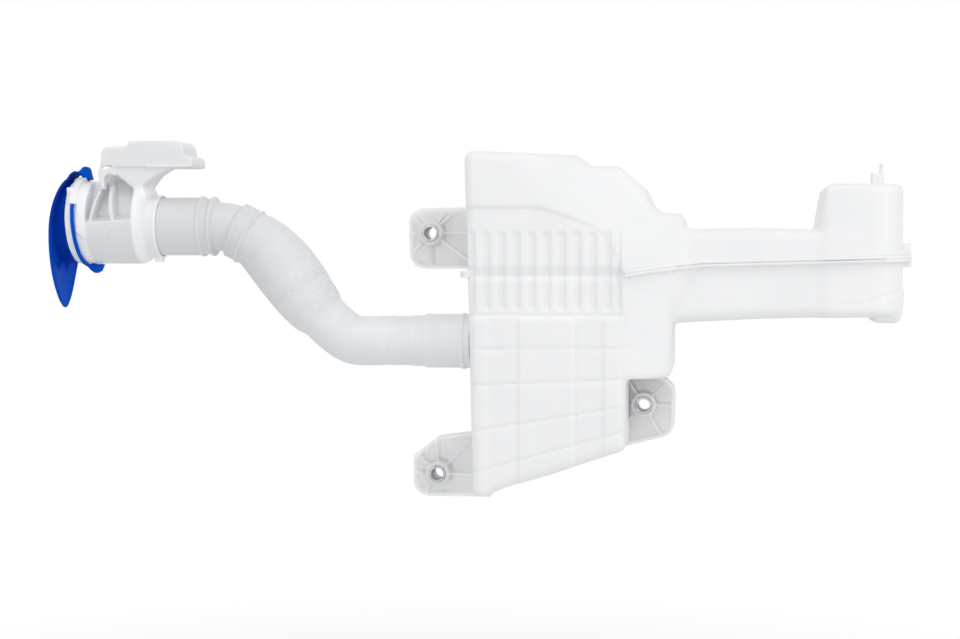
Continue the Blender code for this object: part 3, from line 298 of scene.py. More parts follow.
def flat_distance(x, z, points):
    """The distance of each (x, z) from a closed outline, negative inside it."""
    x, z = np.broadcast_arrays(x, z)
    nearest = np.full(x.shape, 1e9, np.float32)
    inside = np.zeros(x.shape, bool)
    for (ax, az), (bx, bz) in zip(points, points[1:] + points[:1]):
        dx, dz = bx - ax, bz - az
        length = dx * dx + dz * dz
        if length < 1e-12:
            continue
        along = np.clip(((x - ax) * dx + (z - az) * dz) / length, 0, 1)
        nearest = np.minimum(nearest, np.hypot(x - ax - along * dx, z - az - along * dz))
        if az != bz:
            inside ^= ((az > z) != (bz > z)) & (x < ax + (z - az) * dx / dz)
    return np.where(inside, -nearest, nearest)


def rounded(first, second, radius):
    """What lies inside two distances at once, with the edge between them rounded."""
    a, b = first + radius, second + radius
    return np.minimum(np.maximum(a, b), 0) + np.hypot(np.maximum(a, 0), np.maximum(b, 0)) - radius


def between(value, low, high):
    """The distance of a value from the stretch between two others."""
    return np.maximum(low - value, value - high)


def joined(first, second, soft=0.0):
    """Two shapes as one, with a fillet of about that size where they meet."""
    if soft <= 0:
        return np.minimum(first, second)
    near = np.maximum(soft - np.abs(first - second), 0) / soft
    return np.minimum(first, second) - near * near * soft / 4


def without(first, second, soft=0.0):
    """The first shape with the second cut from it."""
    return -joined(-first, second, soft)


def eased(value, low, high):
    """A smooth step from 0 at low to 1 at high. Either end may be the larger."""
    t = np.clip((value - low) / (high - low), 0, 1)
    return t * t * (3 - 2 * t)


square = outline([(-10, -10, 9.9), (-10, 10, 9.9), (10, 10, 9.9), (10, -10, 9.9)])
print("a rounded square of 20 mm holds its centre by", round(float(-flat_distance(0.0, 0.0, square)), 2))

# %% [markdown]
# ## A skin where the distance is zero
# A distance becomes a mesh with surface nets: space is ruled into cells, every cell that the skin passes
# through gets one point, the middle of the places where the skin crosses its edges, and every crossed edge
# gets one quad between its four cells. The ruling may be finer where there is detail.

# %% Ruling and skinning
def ruled(low, high, coarse, *zones):
    """Grid lines from low to high, with smaller steps in the zones (start, end, step)."""
    lines = [low]
    while lines[-1] < high:
        steps = [coarse] + [step for start, end, step in zones if start <= lines[-1] < end]
        lines.append(lines[-1] + min(steps))
    return np.array(lines, np.float32)


def rulers(xs, ys, zs):
    """The three rulings as arrays that spread over the whole grid."""
    return xs[:, None, None], ys[None, :, None], zs[None, None, :]


def mesh_piece(name, points, faces, look):
    """An object from points in metres and faces with equal numbers of corners."""
    mesh = bpy.data.meshes.new(name)
    faces = np.asarray(faces, np.int32)
    mesh.vertices.add(len(points))
    mesh.vertices.foreach_set("co", np.asarray(points, np.float32).ravel())
    mesh.loops.add(faces.size)
    mesh.loops.foreach_set("vertex_index", faces.ravel())
    mesh.polygons.add(len(faces))
    mesh.polygons.foreach_set("loop_start", np.arange(len(faces), dtype=np.int32) * faces.shape[1])
    mesh.update(calc_edges=True)
    mesh.validate()
    mesh.shade_smooth()
    mesh.materials.append(look)
    made = bpy.data.objects.new(name, mesh)
    bpy.context.scene.collection.objects.link(made)
    return made


def skin(name, field, xs, ys, zs, look):
    """The closed surface on which a field over the ruled grid is zero."""
    lines = (xs, ys, zs)
    cells = tuple(n - 1 for n in field.shape)
    points, homes, quads = [], [], []
    for axis in range(3):
        here = [slice(None)] * 3
        there = [slice(None)] * 3
        here[axis], there[axis] = slice(None, -1), slice(1, None)
        low, high = field[tuple(here)], field[tuple(there)]
        crossed = np.argwhere((low < 0) != (high < 0))
        index = tuple(crossed.T)
        low, high = low[index], high[index]
        place = np.stack([lines[k][crossed[:, k]] for k in range(3)], axis=1).astype(np.float64)
        step = lines[axis][crossed[:, axis] + 1] - lines[axis][crossed[:, axis]]
        place[:, axis] += low / (low - high) * step
        side, up = (axis + 1) % 3, (axis + 2) % 3
        around = []
        for a, b in ((1, 1), (0, 1), (0, 0), (1, 0)):
            cell = crossed.copy()
            cell[:, side] -= a
            cell[:, up] -= b
            around.append(np.ravel_multi_index(tuple(cell.T), cells))
            points.append(place)
            homes.append(around[-1])
        around = np.stack(around, axis=1)
        around[low > 0] = around[low > 0][:, ::-1]
        quads.append(around)
    homes = np.concatenate(homes)
    points = np.concatenate(points)
    quads = np.concatenate(quads)
    used, slots = np.unique(homes, return_inverse=True)
    count = np.bincount(slots)
    middle = np.stack([np.bincount(slots, points[:, k]) / count for k in range(3)], axis=1)
    faces = np.searchsorted(used, quads)
    made = mesh_piece(name, middle * MM, faces, look)
    print(name, len(faces), "quads")
    return made


print("surface nets ready")

# %% [markdown]
# ## The tank's form
# The tank is a tall chamber with an arm that reaches right to the pump block. It is moulded in two halves
# that are welded at a flange. One distance holds the whole form, and the seam divides it later, so both
# halves fit each other. They overlap a little there, as the melt of a weld does. The outlines are corners
# with radii, (x, z, radius), and the chamber's goes clockwise from the top left.

# %% Outlines of the tank
CHAMBER = [(30.2, 55, 6.5), (105.8, 51.8, 6), (113.6, 44.8, 4), (133.5, 44.8, 6), (151, 29.8, 8),
           (157.0, 13, 16), (177.5, 12.6, 5), (178, -30, 30), (169.4, -52, 30), (169.4, -98.6, 6),
           (139, -98.6, 4), (139, -146, 5), (90, -163, 40), (58, -172.6, 40), (36.2, -182.4, 6),
           (34.2, -92, 0)]
ARM = [(150, 1.6, 0), (222, 3.0, 160), (300, 0.6, 0), (300, -56.4, 0), (222, -58.8, 0), (150, -62.8, 0)]
SUMP = [(302, -40, 0), (304.5, -61.5, 3.5), (322.8, -61.5, 4.5), (324.3, -40, 0)]
CLIP = [(303.6, 28, 0), (303.6, 41.8, 0.8), (306.2, 39.8, 0.8), (309.0, 39.8, 0.8), (309.8, 47.4, 0.4),
        (311.4, 47.4, 0.4), (312.6, 28, 0)]
ARCH = [(-40, -60, 0), (-40, 17.2, 0), (82, 17.2, 60), (124, 3, 30), (137.5, -22, 14), (137.5, -60, 0)]
PANEL_FRONT, PANEL_BACK, PANEL_RIGHT = -72.0, 40.0, 139.0
ARM_FRONT, ARM_BACK = -46.0, 36.0
BLOCK_LEFT, BLOCK_RIGHT, BLOCK_TOP, BLOCK_BOTTOM = 266.4, 324.3, 32.4, -56.4
SEAM_STOPS = ((0, 139, 160, 189, 334), (-28.4, -28.0, -24.6, -21.4, -17.6))
GROOVES = [((33, -55.6), (139, -55.4)), ((33, -78.9), (149, -77.8)), ((34, -103.5), (165, -97.4)),
           ((35, -134.6), (149, -115.0)), ((36, -162.6), (139, -133.2))]
COLUMNS = ((67.0, 1.3, 0.55), (105.4, 1.3, 0.5), (124.2, 1.3, 0.5), (137.4, 1.1, 0.6))
ARM_LINES = [((284, -49.6), (300, -46.8)), ((300, -46.8), (321, -39.6)), ((190, -3.4), (240, -3.4))]
POCKET_DEPTH, STRIP_DEPTH, VALLEY_DEPTH = 1.7, 0.9, 2.6
GROOVE_DEPTH, GROOVE_HALF = 0.8, 0.95
ARM_LINE_DEPTH, ARM_LINE_HALF = 0.45, 1.1
SHOULDER_TURN, SIDE_TURN = math.radians(27), math.radians(33)
LIP_HALF, LIP_ROUNDING = 2.3, 0.8
PORT_X, PORT_Z, PORT_RADIUS, BOSS_RADIUS = 307.65, -42.0, 10.0, 13.0
WELD_OVERLAP = 0.15
print("chamber corners:", len(CHAMBER), "grooves:", len(GROOVES))

# %% The front panel's relief
def line_distance(x, z, start, end):
    """The distance of (x, z) from a straight line between two points."""
    dx, dz = end[0] - start[0], end[1] - start[1]
    along = np.clip(((x - start[0]) * dx + (z - start[1]) * dz) / (dx * dx + dz * dz), 0, 1)
    return np.hypot(x - start[0] - along * dx, z - start[1] - along * dz)


def panel_relief(x, z, seam):
    """How deep the front panel lies below its plane. It has a pocket with an arched top, sunk columns,
    thin grooves, and the valley in which the weld runs."""
    pocket = eased(flat_distance(x, z, outline(ARCH)), 1.2, -2.2) * eased(z, -60, -56)
    depth = POCKET_DEPTH * pocket
    below = eased(z, -56.5, -60.5)
    for left, right in ((46.5, 66.8), (105.0, 123.7)):
        strip = below * eased(x, left - 1.5, left + 1.5) * eased(x, right + 1.5, right - 1.5)
        depth = depth + STRIP_DEPTH * strip
    for start, end in GROOVES:
        depth = depth + GROOVE_DEPTH * np.exp(-(line_distance(x, z, start, end) / GROOVE_HALF) ** 2)
    for place, half, sunk in COLUMNS:
        depth = depth + sunk * below * np.exp(-((x - place) / half) ** 2)
    rise = z - seam
    valley = eased(rise, 6.5, -0.5) * eased(rise, -3.2, -1.6)
    return depth + VALLEY_DEPTH * valley * eased(x, 141, 134)


print("the pocket is", POCKET_DEPTH, "mm deep")

# %% The whole tank as one distance
def tank_form(x, y, z, seam):
    """The tank without its flange, lugs and fittings."""
    flat = flat_distance(x, z, outline(CHAMBER))
    front = PANEL_FRONT + panel_relief(x, z, seam)
    deep = np.maximum(front - y, y - PANEL_BACK)
    form = rounded(flat, deep, 6.5)
    s, c = math.sin(SHOULDER_TURN), math.cos(SHOULDER_TURN)
    shoulder = (x - 122) * 0.688 * s + (z - 1) * 0.725 * s - (y - PANEL_FRONT) * c
    s, c = math.sin(SIDE_TURN), math.cos(SIDE_TURN)
    side = (x - PANEL_RIGHT) * s - (y - PANEL_FRONT) * c
    form = without(form, -shoulder, 7.0)
    form = without(form, -side, 4.0)
    arm = rounded(flat_distance(x, z, outline(ARM)), between(y, ARM_FRONT, ARM_BACK), 8.0)
    form = joined(form, arm, 6.0)
    lean = 5.5 * np.clip((z - 1.6) / 30.8, 0, 1)
    plan = outline([(BLOCK_LEFT, ARM_FRONT - 0.5, 8), (BLOCK_RIGHT, ARM_FRONT - 0.5, 24),
                    (BLOCK_RIGHT, ARM_BACK + 0.5, 24), (BLOCK_LEFT, ARM_BACK + 0.5, 8)])
    foot = flat_distance(x, y, plan)
    foot = np.maximum(foot, BLOCK_LEFT + lean - x)
    block = rounded(foot, between(z, BLOCK_BOTTOM, BLOCK_TOP), 5.0)
    form = joined(form, block, 4.0)
    for start, end in ARM_LINES:
        line = np.exp(-(line_distance(x, z, start, end) / ARM_LINE_HALF) ** 2)
        form = form + ARM_LINE_DEPTH * line * eased(y, -30, -40)
    sump = rounded(flat_distance(x, z, outline(SUMP)), between(y, ARM_FRONT + 13, ARM_BACK - 13), 4.0)
    return joined(form, sump, 3.0)


def tank_fittings(form, x, y, z, seam):
    """Adds the weld flange, the ear and clip at the far end, and the pump boss with its port."""
    rise = z - seam
    reach = np.where(x < 145, 5.4, 5.8)
    lips = rounded(form - reach, between(rise, -LIP_HALF, LIP_HALF), LIP_ROUNDING)
    inside_panel = rounded(x - 138.0, y + 68.5, 3.0)
    lips = np.maximum(lips, -inside_panel)
    form = joined(form, lips, 1.0)
    ear = rounded(between(x, 320.0, 330.2), rounded(between(y, -20, -2), between(z, -23.5, -7.5), 1.0), 1.0)
    form = joined(form, ear, 1.0)
    form = joined(form, rounded(flat_distance(x, z, outline(CLIP)), between(y, -18, -6), 0.4), 1.0)
    spread = np.hypot(x - PORT_X, z - PORT_Z)
    form = joined(form, rounded(spread - BOSS_RADIUS, between(y, 30, ARM_BACK + 4.0), 0.8), 1.5)
    return without(form, np.maximum(spread - PORT_RADIUS, 22 - y), 0.6)


print("the form reaches from", CHAMBER[0][0], "to", BLOCK_RIGHT, "mm")

# %% Skin both halves
xs = ruled(18.13, 334.0, 1.6, (18, 142, 0.9), (142, 180, 1.1), (300, 334, 1.1))
ys = ruled(-80.37, 48.0, 4.0, (-80, -58, 1.0), (-52, -36, 1.2), (-22, 0, 1.2), (26, 48, 1.2))
zs = ruled(-188.21, 62.0, 1.15, (-31, -16, 0.45))
x, y, z = rulers(xs, ys, zs)
seam = np.interp(x, *SEAM_STOPS).astype(np.float32)
form = tank_fittings(tank_form(x, y, z, seam), x, y, z, seam).astype(np.float32)
upper = skin("tank_upper", np.maximum(form, seam - z - WELD_OVERLAP), xs, ys, zs, tank_white)
lower = skin("tank_lower", np.maximum(form, z - (seam + WELD_OVERLAP)), xs, ys, zs, tank_white)
del form

# %% [markdown]
# ## Trees that grow geometry
# What repeats or follows a path is left to Geometry Nodes. Each tree is built here with named inputs for its
# sizes. It is run once, its result is kept as a plain mesh, and the modifier goes, so nothing is live later.

# %% A Geometry Nodes tree with named inputs
class Growth(Graph):
    """A Geometry Nodes tree: a graph with named inputs and one geometry in and out."""

    def __init__(self, name, sizes):
        super().__init__(bpy.data.node_groups.new(name, "GeometryNodeTree"))
        self.sizes = sizes
        face = self.tree.interface
        face.new_socket("Geometry", in_out="INPUT", socket_type="NodeSocketGeometry")
        for label in sizes:
            face.new_socket(label, in_out="INPUT", socket_type="NodeSocketFloat")
        face.new_socket("Geometry", in_out="OUTPUT", socket_type="NodeSocketGeometry")
        self.entry = self.tree.nodes.new("NodeGroupInput")

    def input(self, label="Geometry"):
        """The wire of a named input."""
        return Wire(self, self.entry.outputs[label])

    def position(self):
        """The x, y and z of each point, in metres."""
        parts = self.node("ShaderNodeSeparateXYZ", None, {0: self.node("GeometryNodeInputPosition")})
        return parts.out("X"), parts.out("Y"), parts.out("Z")

    def vector(self, x, y, z):
        """One vector from three values."""
        return self.node("ShaderNodeCombineXYZ", None, {0: x, 1: y, 2: z})

    def grow(self, obj, look):
        """Ends the tree, runs it on the object and keeps the result as its plain mesh."""
        whole = self.node("GeometryNodeRealizeInstances", None, {0: self.result})
        shown = self.node("GeometryNodeSetMaterial", None, {"Geometry": whole, "Material": look})
        self.node("NodeGroupOutput", None, {0: shown})
        modifier = obj.modifiers.new("growth", "NODES")
        modifier.node_group = self.tree
        for item in self.tree.interface.items_tree:
            if item.item_type == "SOCKET" and item.in_out == "INPUT" and item.name in self.sizes:
                modifier[item.identifier] = float(self.sizes[item.name])
        mesh = bpy.data.meshes.new_from_object(obj.evaluated_get(bpy.context.evaluated_depsgraph_get()))
        obj.modifiers.clear()
        obj.data = mesh
        mesh.name = obj.name
        mesh.shade_smooth()
        print(obj.name, len(mesh.polygons), "faces after", self.tree.name)
        return obj


print("trees can grow")

# %% [markdown]
# ## Flutes on the front panel
# Upright pleats stiffen the large flat wall on both sides of the weld. They repeat at one pitch, so a tree
# sinks the front wall by a wave of x. The wave fades out at the ends of the flutes and at the panel's sides.

# %% Grow the flutes
def flute_tree():
    """Sinks the front wall in upright pleats."""
    sizes = {"Pitch": 10.2 * MM, "Depth": 1.5 * MM, "First": 35.1 * MM, "Left": 33.5 * MM, "Right": 137 * MM,
             "Top": 1.6 * MM, "Bottom": -54 * MM, "Fade": 4.5 * MM, "Front": -60 * MM}
    tree = Growth("panel_flutes", sizes)
    px, py, pz = tree.position()
    phase = (px - tree.input("First")) / tree.input("Pitch") * (2 * math.pi)
    wave = phase.sum("COSINE").step(-0.6, 0.5)
    fade = tree.input("Fade")
    top, bottom = tree.input("Top"), tree.input("Bottom")
    tall = pz.step(top, top - fade) * pz.step(bottom, bottom + fade)
    left, right = tree.input("Left"), tree.input("Right")
    wide = px.step(left, left + 2 * MM) * px.step(right, right - 2 * MM)
    sunk = wave * tall * wide * tree.input("Depth") * (py < tree.input("Front"))
    push = tree.vector(0.0, sunk, 0.0)
    tree.result = tree.node("GeometryNodeSetPosition", None, {0: tree.input(), 3: push})
    return tree


for half in (upper, lower):
    flute_tree().grow(half, tank_white)

# %% [markdown]
# ## Mounting lugs
# Three lugs bolt the tank to the body. Each is a shallow tray, stiff through its rim, with a boss for the
# steel bush and thin webs that run from the boss to the rim. The mould leaves a fillet at the foot of every
# web, which the smoothing of the distances gives. Each lug is written as the place of its bolt, the corners
# of its outline, and the angle and half width of its webs.

# %% Skin the lugs
LUGS = {
    "lug_upper_left": (
        (0.0, 0.0),
        [(36, 18.3, 0), (-15.6, 17.2, 10), (-14.4, -24.9, 11), (36, -24.9, 0)],
        ((0, 0.45), (42, 0.55), (57, 0.45), (138, 0.6), (180, 0.45), (226, 0.6), (270, 0.5), (324, 0.8))),
    "lug_lower_left": (
        (4.8, -169.2),
        [(42, -138.6, 0), (4.3, -143.6, 3), (-12.2, -156.6, 2), (-12.2, -185, 11), (42, -185, 0)],
        ((-2, 0.6), (46, 0.5), (93, 0.5), (138, 0.6), (180, 0.5), (237, 0.6))),
    "lug_lower_right": (
        (149.4, -119.4),
        [(135, -99.6, 0), (171, -99.6, 12), (170.4, -139.4, 11), (135, -148.4, 0)],
        ((0, 0.5), (45, 0.5), (122, 0.6), (180, 0.5), (225, 0.6), (300, 0.5))),
}
LUG_FRONT, LUG_REAR, LUG_RIM, LUG_FLOOR = -21.0, -0.5, 2.0, -2.9
BUSH_HOLE, BUSH_BOSS = 6.1, 8.7


def lug_form(x, y, z, bolt, corners, webs):
    """A lug: a tray with a rim, webs, and a boss that is bored for its bush."""
    flat = flat_distance(x, z, outline(corners))
    tray = rounded(flat, between(y, LUG_FRONT, LUG_REAR), 0.7)
    form = without(tray, np.maximum(flat + LUG_RIM, y - LUG_FLOOR), 1.0)
    for angle, half in webs:
        c, s = math.cos(math.radians(angle)), math.sin(math.radians(angle))
        across = np.abs((z - bolt[1]) * c - (x - bolt[0]) * s) - half
        ahead = -((x - bolt[0]) * c + (z - bolt[1]) * s)
        web = np.maximum(np.maximum(across, ahead), np.maximum(flat + 1.0, between(y, -20.2, -1.5)))
        form = joined(form, web, 1.3)
    spread = np.hypot(x - bolt[0], z - bolt[1])
    boss = rounded(spread - BUSH_BOSS, between(y, -22.6, LUG_REAR), 0.8)
    form = joined(form, boss, 1.6)
    return without(form, np.maximum(spread - BUSH_HOLE, between(y, -40, 40)), 0.3)


lugs = {}
for name, (bolt, corners, webs) in LUGS.items():
    across = [c[0] for c in corners]
    rise = [c[1] for c in corners]
    lx = ruled(min(across) - 2.3, max(across) + 2.0, 0.6)
    ly = ruled(-24.13, 1.6, 2.0, (-25, -17.5, 0.6), (-5, 2, 0.6))
    lz = ruled(min(rise) - 2.3, max(rise) + 2.0, 0.6)
    x, y, z = rulers(lx, ly, lz)
    form = lug_form(x, y, z, bolt, corners, webs).astype(np.float32)
    lugs[name] = skin(name, form, lx, ly, lz, lug_white_painted_light)

# %% [markdown]
# ## The filler hose
# The hose is blow-moulded. A cuff slides into the filler head, another slides over the tank's inlet, and
# between them a bellows lets it bend. Its radius is a rule of the distance along its axis, so one tree makes
# it: the route becomes a smooth curve, a circle is swept along it, and the rule scales the circle. Some
# slow noise on the bellows keeps the fine ribs from looking machined.

# %% The route of the hose
HOSE_ROUTE = [(-201, 0), (-170, 0), (-158, 0), (-150, -0.3), (-144, -1.2), (-138.4, -3.4), (-131.5, -6.9),
              (-121, -13.4), (-109.8, -24.4), (-98.5, -38.3), (-89.5, -50.3), (-81.0, -59.8), (-71.0, -69.6),
              (-62.5, -76.4), (-55.0, -80.2), (-46.0, -81.0), (-31, -80.6), (-14, -80.6), (4, -80.6),
              (29.4, -80.6)]
AXIS_Y, HOSE_Z = -19, 5
route = bpy.data.meshes.new("hose_route")
route.from_pydata([(px * MM, AXIS_Y * MM, (HOSE_Z + pz) * MM) for px, pz in HOSE_ROUTE],
                  [(i, i + 1) for i in range(len(HOSE_ROUTE) - 1)], [])
route_length = sum(math.dist(a, b) for a, b in zip(HOSE_ROUTE, HOSE_ROUTE[1:]))
print("the route is", round(route_length), "mm long")

# %% Grow the hose
def hose_tree(total):
    """Sweeps a circle along the route and lets the distance s along it, in mm, set the radius."""
    sizes = {"Cuff": 20.6, "Neck": 17.1, "Bellows": 22.7, "Start": 72.0, "End": 146.0, "Pitch": 1.95,
             "Rib": 0.24, "Bead": 0.9, "Inlet cuff": 18.7, "Total": total}
    tree = Growth("bellows_hose", sizes)
    curve = tree.node("GeometryNodeMeshToCurve", None, {0: tree.input()})
    curve = tree.node("GeometryNodeCurveSplineType", {"spline_type": "CATMULL_ROM"}, {0: curve})
    curve = tree.node("GeometryNodeSetSplineResolution", None, {0: curve, 2: 24})
    curve = tree.node("GeometryNodeResampleCurve", {"mode": "LENGTH"}, {0: curve, 3: 0.42 * MM})
    s = tree.node("GeometryNodeSplineParameter").out("Length") / MM
    cuff, neck, bead = tree.input("Cuff"), tree.input("Neck"), tree.input("Bead")
    start, end = tree.input("Start"), tree.input("End")

    def ridge(place, half):
        """A smooth ridge of height 1."""
        apart = (s - place).sum("ABSOLUTE")
        return apart.step(half, half * 0.15)

    # The upper cuff has a groove between two ridges.
    radius = s.step(45.8, 47.2, cuff, neck + 0.2)
    radius = radius - s.step(38.2, 39.4) * s.step(44.4, 43.2) * 0.9
    radius = radius + ridge(37.2, 1.8) * bead + ridge(44.9, 1.7) * bead * 0.6
    # A collar with a fine thread leads into the bellows.
    radius = radius + s.step(59.6, 61.4) * s.step(start + 2.0, start - 1.0) * 2.5
    fine = ((s - 60.5) * (2 * math.pi / 2.45)).sum("SINE")
    radius = radius + fine * s.step(60.4, 61.4) * s.step(start, start - 2.0) * 0.38
    # The bellows swells toward its middle, and its ribs come and go.
    share = (s - start) / (end - start)
    swell = ((share * 0.84 + 0.06).clamped() * math.pi).sum("SINE")
    window = s.step(start - 1.5, start) * s.step(end + 7.0, end - 2.0)
    radius = radius + window * (swell * (tree.input("Bellows") - neck - 0.9) + 0.9)
    drift = {"W": s * 0.11, "Scale": 1.0, "Detail": 1.0}
    slow = tree.node("ShaderNodeTexNoise", {"noise_dimensions": "1D"}, drift)
    ribs = ((s - start) * 2 * math.pi / tree.input("Pitch")).sum("SINE")
    radius = radius + window * ribs * tree.input("Rib") * (slow * 1.3 + 0.35)
    # The lower cuff widens in two steps and ends in a bead.
    from_end = tree.input("Total") - s
    widening = tree.input("Inlet cuff") - neck - 0.5
    radius = radius + from_end.step(43.5, 41.5) * 0.5 + from_end.step(33.8, 31.8) * widening
    radius = radius + (from_end - 56.0).sum("ABSOLUTE").step(1.0, 0.2) * 0.35
    radius = radius + (from_end - 5.5).sum("ABSOLUTE").step(2.0, 0.6) * bead
    ring = tree.node("GeometryNodeCurvePrimitiveCircle", None, {"Resolution": 60, "Radius": 1.0 * MM})
    tube = tree.node("GeometryNodeCurveToMesh", None, {0: curve, 1: ring, 2: radius})
    place = tree.node("GeometryNodeInputPosition")
    waver = tree.node("ShaderNodeTexNoise", None, {"Vector": place, "Scale": 130.0, "Detail": 2.0})
    px = tree.position()[0]
    wrinkled = px.step(-138 * MM, -128 * MM) * px.step(-62 * MM, -76 * MM)
    normal = tree.node("GeometryNodeInputNormal")
    push = tree.node("ShaderNodeVectorMath", {"operation": "SCALE"},
                     {0: normal, "Scale": (waver - 0.5) * wrinkled * 0.3 * MM})
    tree.result = tree.node("GeometryNodeSetPosition", None, {0: tube, 3: push})
    return tree


hose = bpy.data.objects.new("bellows_hose", route)
bpy.context.scene.collection.objects.link(hose)
hose_tree(route_length).grow(hose, hose_white)

# %% Give the hose its wall
def outward(obj):
    """Merges doubles and turns every face outward."""
    work = bmesh.new()
    work.from_mesh(obj.data)
    bmesh.ops.remove_doubles(work, verts=work.verts, dist=1e-7)
    bmesh.ops.recalc_face_normals(work, faces=work.faces)
    work.to_mesh(obj.data)
    work.free()
    return obj


def walled(obj, thickness):
    """Thickens a skin inward and keeps the result as a plain mesh."""
    wall = obj.modifiers.new("wall", "SOLIDIFY")
    wall.thickness = thickness
    wall.offset = -1.0
    mesh = bpy.data.meshes.new_from_object(obj.evaluated_get(bpy.context.evaluated_depsgraph_get()))
    obj.modifiers.clear()
    obj.data = mesh
    mesh.name = obj.name
    return obj


outward(hose)
hose.data.update()
walled(hose, 1.6 * MM)
print("hose:", len(hose.data.polygons), "faces")

# %% [markdown]
# ## The filler head
# The head is a barrel whose mouth leans, with a recess in its upper front that two ribs divide. A platform
# stands on it on a funnel-shaped web, and the first rib runs on upward into a loop under the platform's left
# end. One distance holds it all. The inside is cut last, and it follows the recess with one wall.

# %% Outlines of the head
PLATFORM = [(-232.8, 46.4, 2), (-232.8, 60.8, 5), (-214.8, 61.4, 1), (-212.3, 65.0, 1.5), (-173.2, 65.0, 7),
            (-172.4, 54.4, 1.5), (-166.4, 54.4, 3.5), (-166.4, 46.4, 2.5)]
FUNNEL = [(-227.8, 47.4, 0), (-181.8, 47.4, 0), (-197.6, 38.2, 3), (-208.6, 30.6, 2), (-221.4, 40.6, 3)]
LOOP = [(-233.2, 50, 0), (-235.2, 42.6, 4), (-233.4, 31, 0), (-230.2, 31, 0), (-230.9, 38.6, 3),
        (-228.6, 42.0, 2), (-222.4, 40.4, 0), (-222.4, 50, 0)]
EYE = [(-231.5, 44.4, 0.5), (-230.9, 47.3, 0.5), (-225.9, 48.0, 0.4), (-225.4, 46.9, 0.3)]
SHOULDER_WEB = [(-209.5, 12, 0), (-209.5, 31.4, 0), (-205.0, 37.2, 1.5), (-203.6, 36.6, 1), (-201.0, 26, 1),
                (-203, 22, 0)]
RIBS = ((-238.2, 0.20, 1.0), (-222.6, -0.17, 1.4))
RECESS_LEFT, RECESS_RIGHT, RECESS_REAR = -242, -209.5, -36
MOUTH_X, MOUTH_TILT = -256.7, math.radians(2.5)
HEAD_RADIUS, HEAD_WALL, HEAD_Z = 29.5, 2.4, 8
print("platform corners:", len(PLATFORM))

# %% The head's outside
def recess_rear(z):
    """Where the recess's rear wall stands. It leans back toward the top."""
    return RECESS_REAR + 0.5 * np.clip(z - 14.0, 0, 26)


def recess_space(x, y, z, grow):
    """The recess in the head's front, or that space with a wall round it. Its floor falls to the front."""
    fall = np.interp(x, (RECESS_LEFT, RECESS_RIGHT), (0.42, 0.24))
    floor = 12.5 + (y - RECESS_REAR) * fall - grow * 1.06
    rear = (y - recess_rear(z)) * 0.92 - grow
    return np.maximum(np.maximum(between(x, RECESS_LEFT - grow, RECESS_RIGHT + grow), rear), floor - z)


def head_solid(x, y, z):
    """The head before it is hollowed."""
    spread = np.hypot(y - AXIS_Y, z - HEAD_Z)
    disc = np.hypot(x + 230.4, z - 0.9)
    mark = 0.35 * eased(y, -28, -32) * np.exp(-((disc - 5.1) / 0.55) ** 2)
    barrel = rounded(spread - HEAD_RADIUS + mark, x + 201.5, 8.0)
    strip = np.maximum(between(x, -248.6, -240.6), np.maximum(-z + 0.4 - 0.72 * (x + 248.5), y + 30))
    form = joined(barrel, rounded(strip, spread - 30.4, 0.4), 0.4)
    form = without(form, recess_space(x, y, z, 0.0), 0.9)
    for foot, lean, half in RIBS:
        rib = np.maximum(6 - z, y - recess_rear(z) - 1.5)
        rib = np.maximum(np.abs(x - foot - (z - 10) * lean) - half, rib)
        form = joined(form, np.maximum(rib, spread - 28.9), 1.1)
    collar = np.hypot(y - AXIS_Y, z - HOSE_Z)
    form = joined(form, rounded(collar - 21.9, between(x, -211, -193.4), 0.6), 1.0)
    form = joined(form, rounded(collar - 22.4, between(x, -195.4, -193.2), 0.5), 0.5)
    nub = np.maximum(between(y, -22.5, -15.5), between(z, -20.4, -14))
    form = joined(form, rounded(between(x, -199.4, -193.6), nub, 0.7), 1.0)
    web = rounded(flat_distance(x, z, outline(SHOULDER_WEB)), between(y, -38, -15), 1.2)
    form = joined(form, web, 2.0)
    lip = rounded(np.hypot((x + 253.7) / 1.35, z - 36.8) - 3.4, between(y, -26, -12), 2.0)
    form = joined(form, lip, 2.0)
    shroud = np.maximum(rounded(spread - 32.3, between(x, -254.0, -248.6), 0.8), 27.0 - spread)
    form = joined(form, np.maximum(shroud, np.maximum(y + 22, 20.6 - z)), 0.5)
    catch = rounded(between(y, -42.5, -36), between(z, 21.3, 32.5), 1.0)
    form = joined(form, rounded(between(x, -257.4, -253.4), catch, 0.8), 0.6)
    return joined(form, np.hypot(np.hypot(x + 221, z + 20.9), y - AXIS_Y) - 0.55, 0.5)


def platform_form(x, y, z):
    """The platform, its web and the loop: a tray that is open at the rear."""
    flat = flat_distance(x, z, outline(PLATFORM))
    tray = rounded(flat, between(y, -40, -4), 1.8)
    form = without(tray, np.maximum(flat + 2.2, -37.8 - y), 0.8)
    lip = rounded(between(x, -200, -166.4), between(z, 46.4, 48.0), 0.6)
    form = joined(form, rounded(lip, between(y, -40.6, -36), 0.5), 0.5)
    form = joined(form, rounded(flat_distance(x, z, outline(FUNNEL)), between(y, -38.2, -19), 1.3), 0.7)
    form = joined(form, rounded(flat_distance(x, z, outline(LOOP)), between(y, -39.2, -33), 1.0), 0.8)
    rear = np.maximum(between(x, -235.4, -189 + (z - 47.4) * 0.8), between(z, 30, 47.4))
    rear = np.maximum(rear, np.where(x < -223, z - 42.0, -9))
    form = joined(form, rounded(rear, between(y, -23, -15), 0.8), 1.2)
    sight = 0.35 * (y + 39)
    eye = np.maximum(flat_distance(x + sight, z, outline(EYE)), between(y, -60, 0))
    return without(form, eye, 0.4)


print("the barrel is", 2 * HEAD_RADIUS, "mm across with a wall of", HEAD_WALL, "mm")

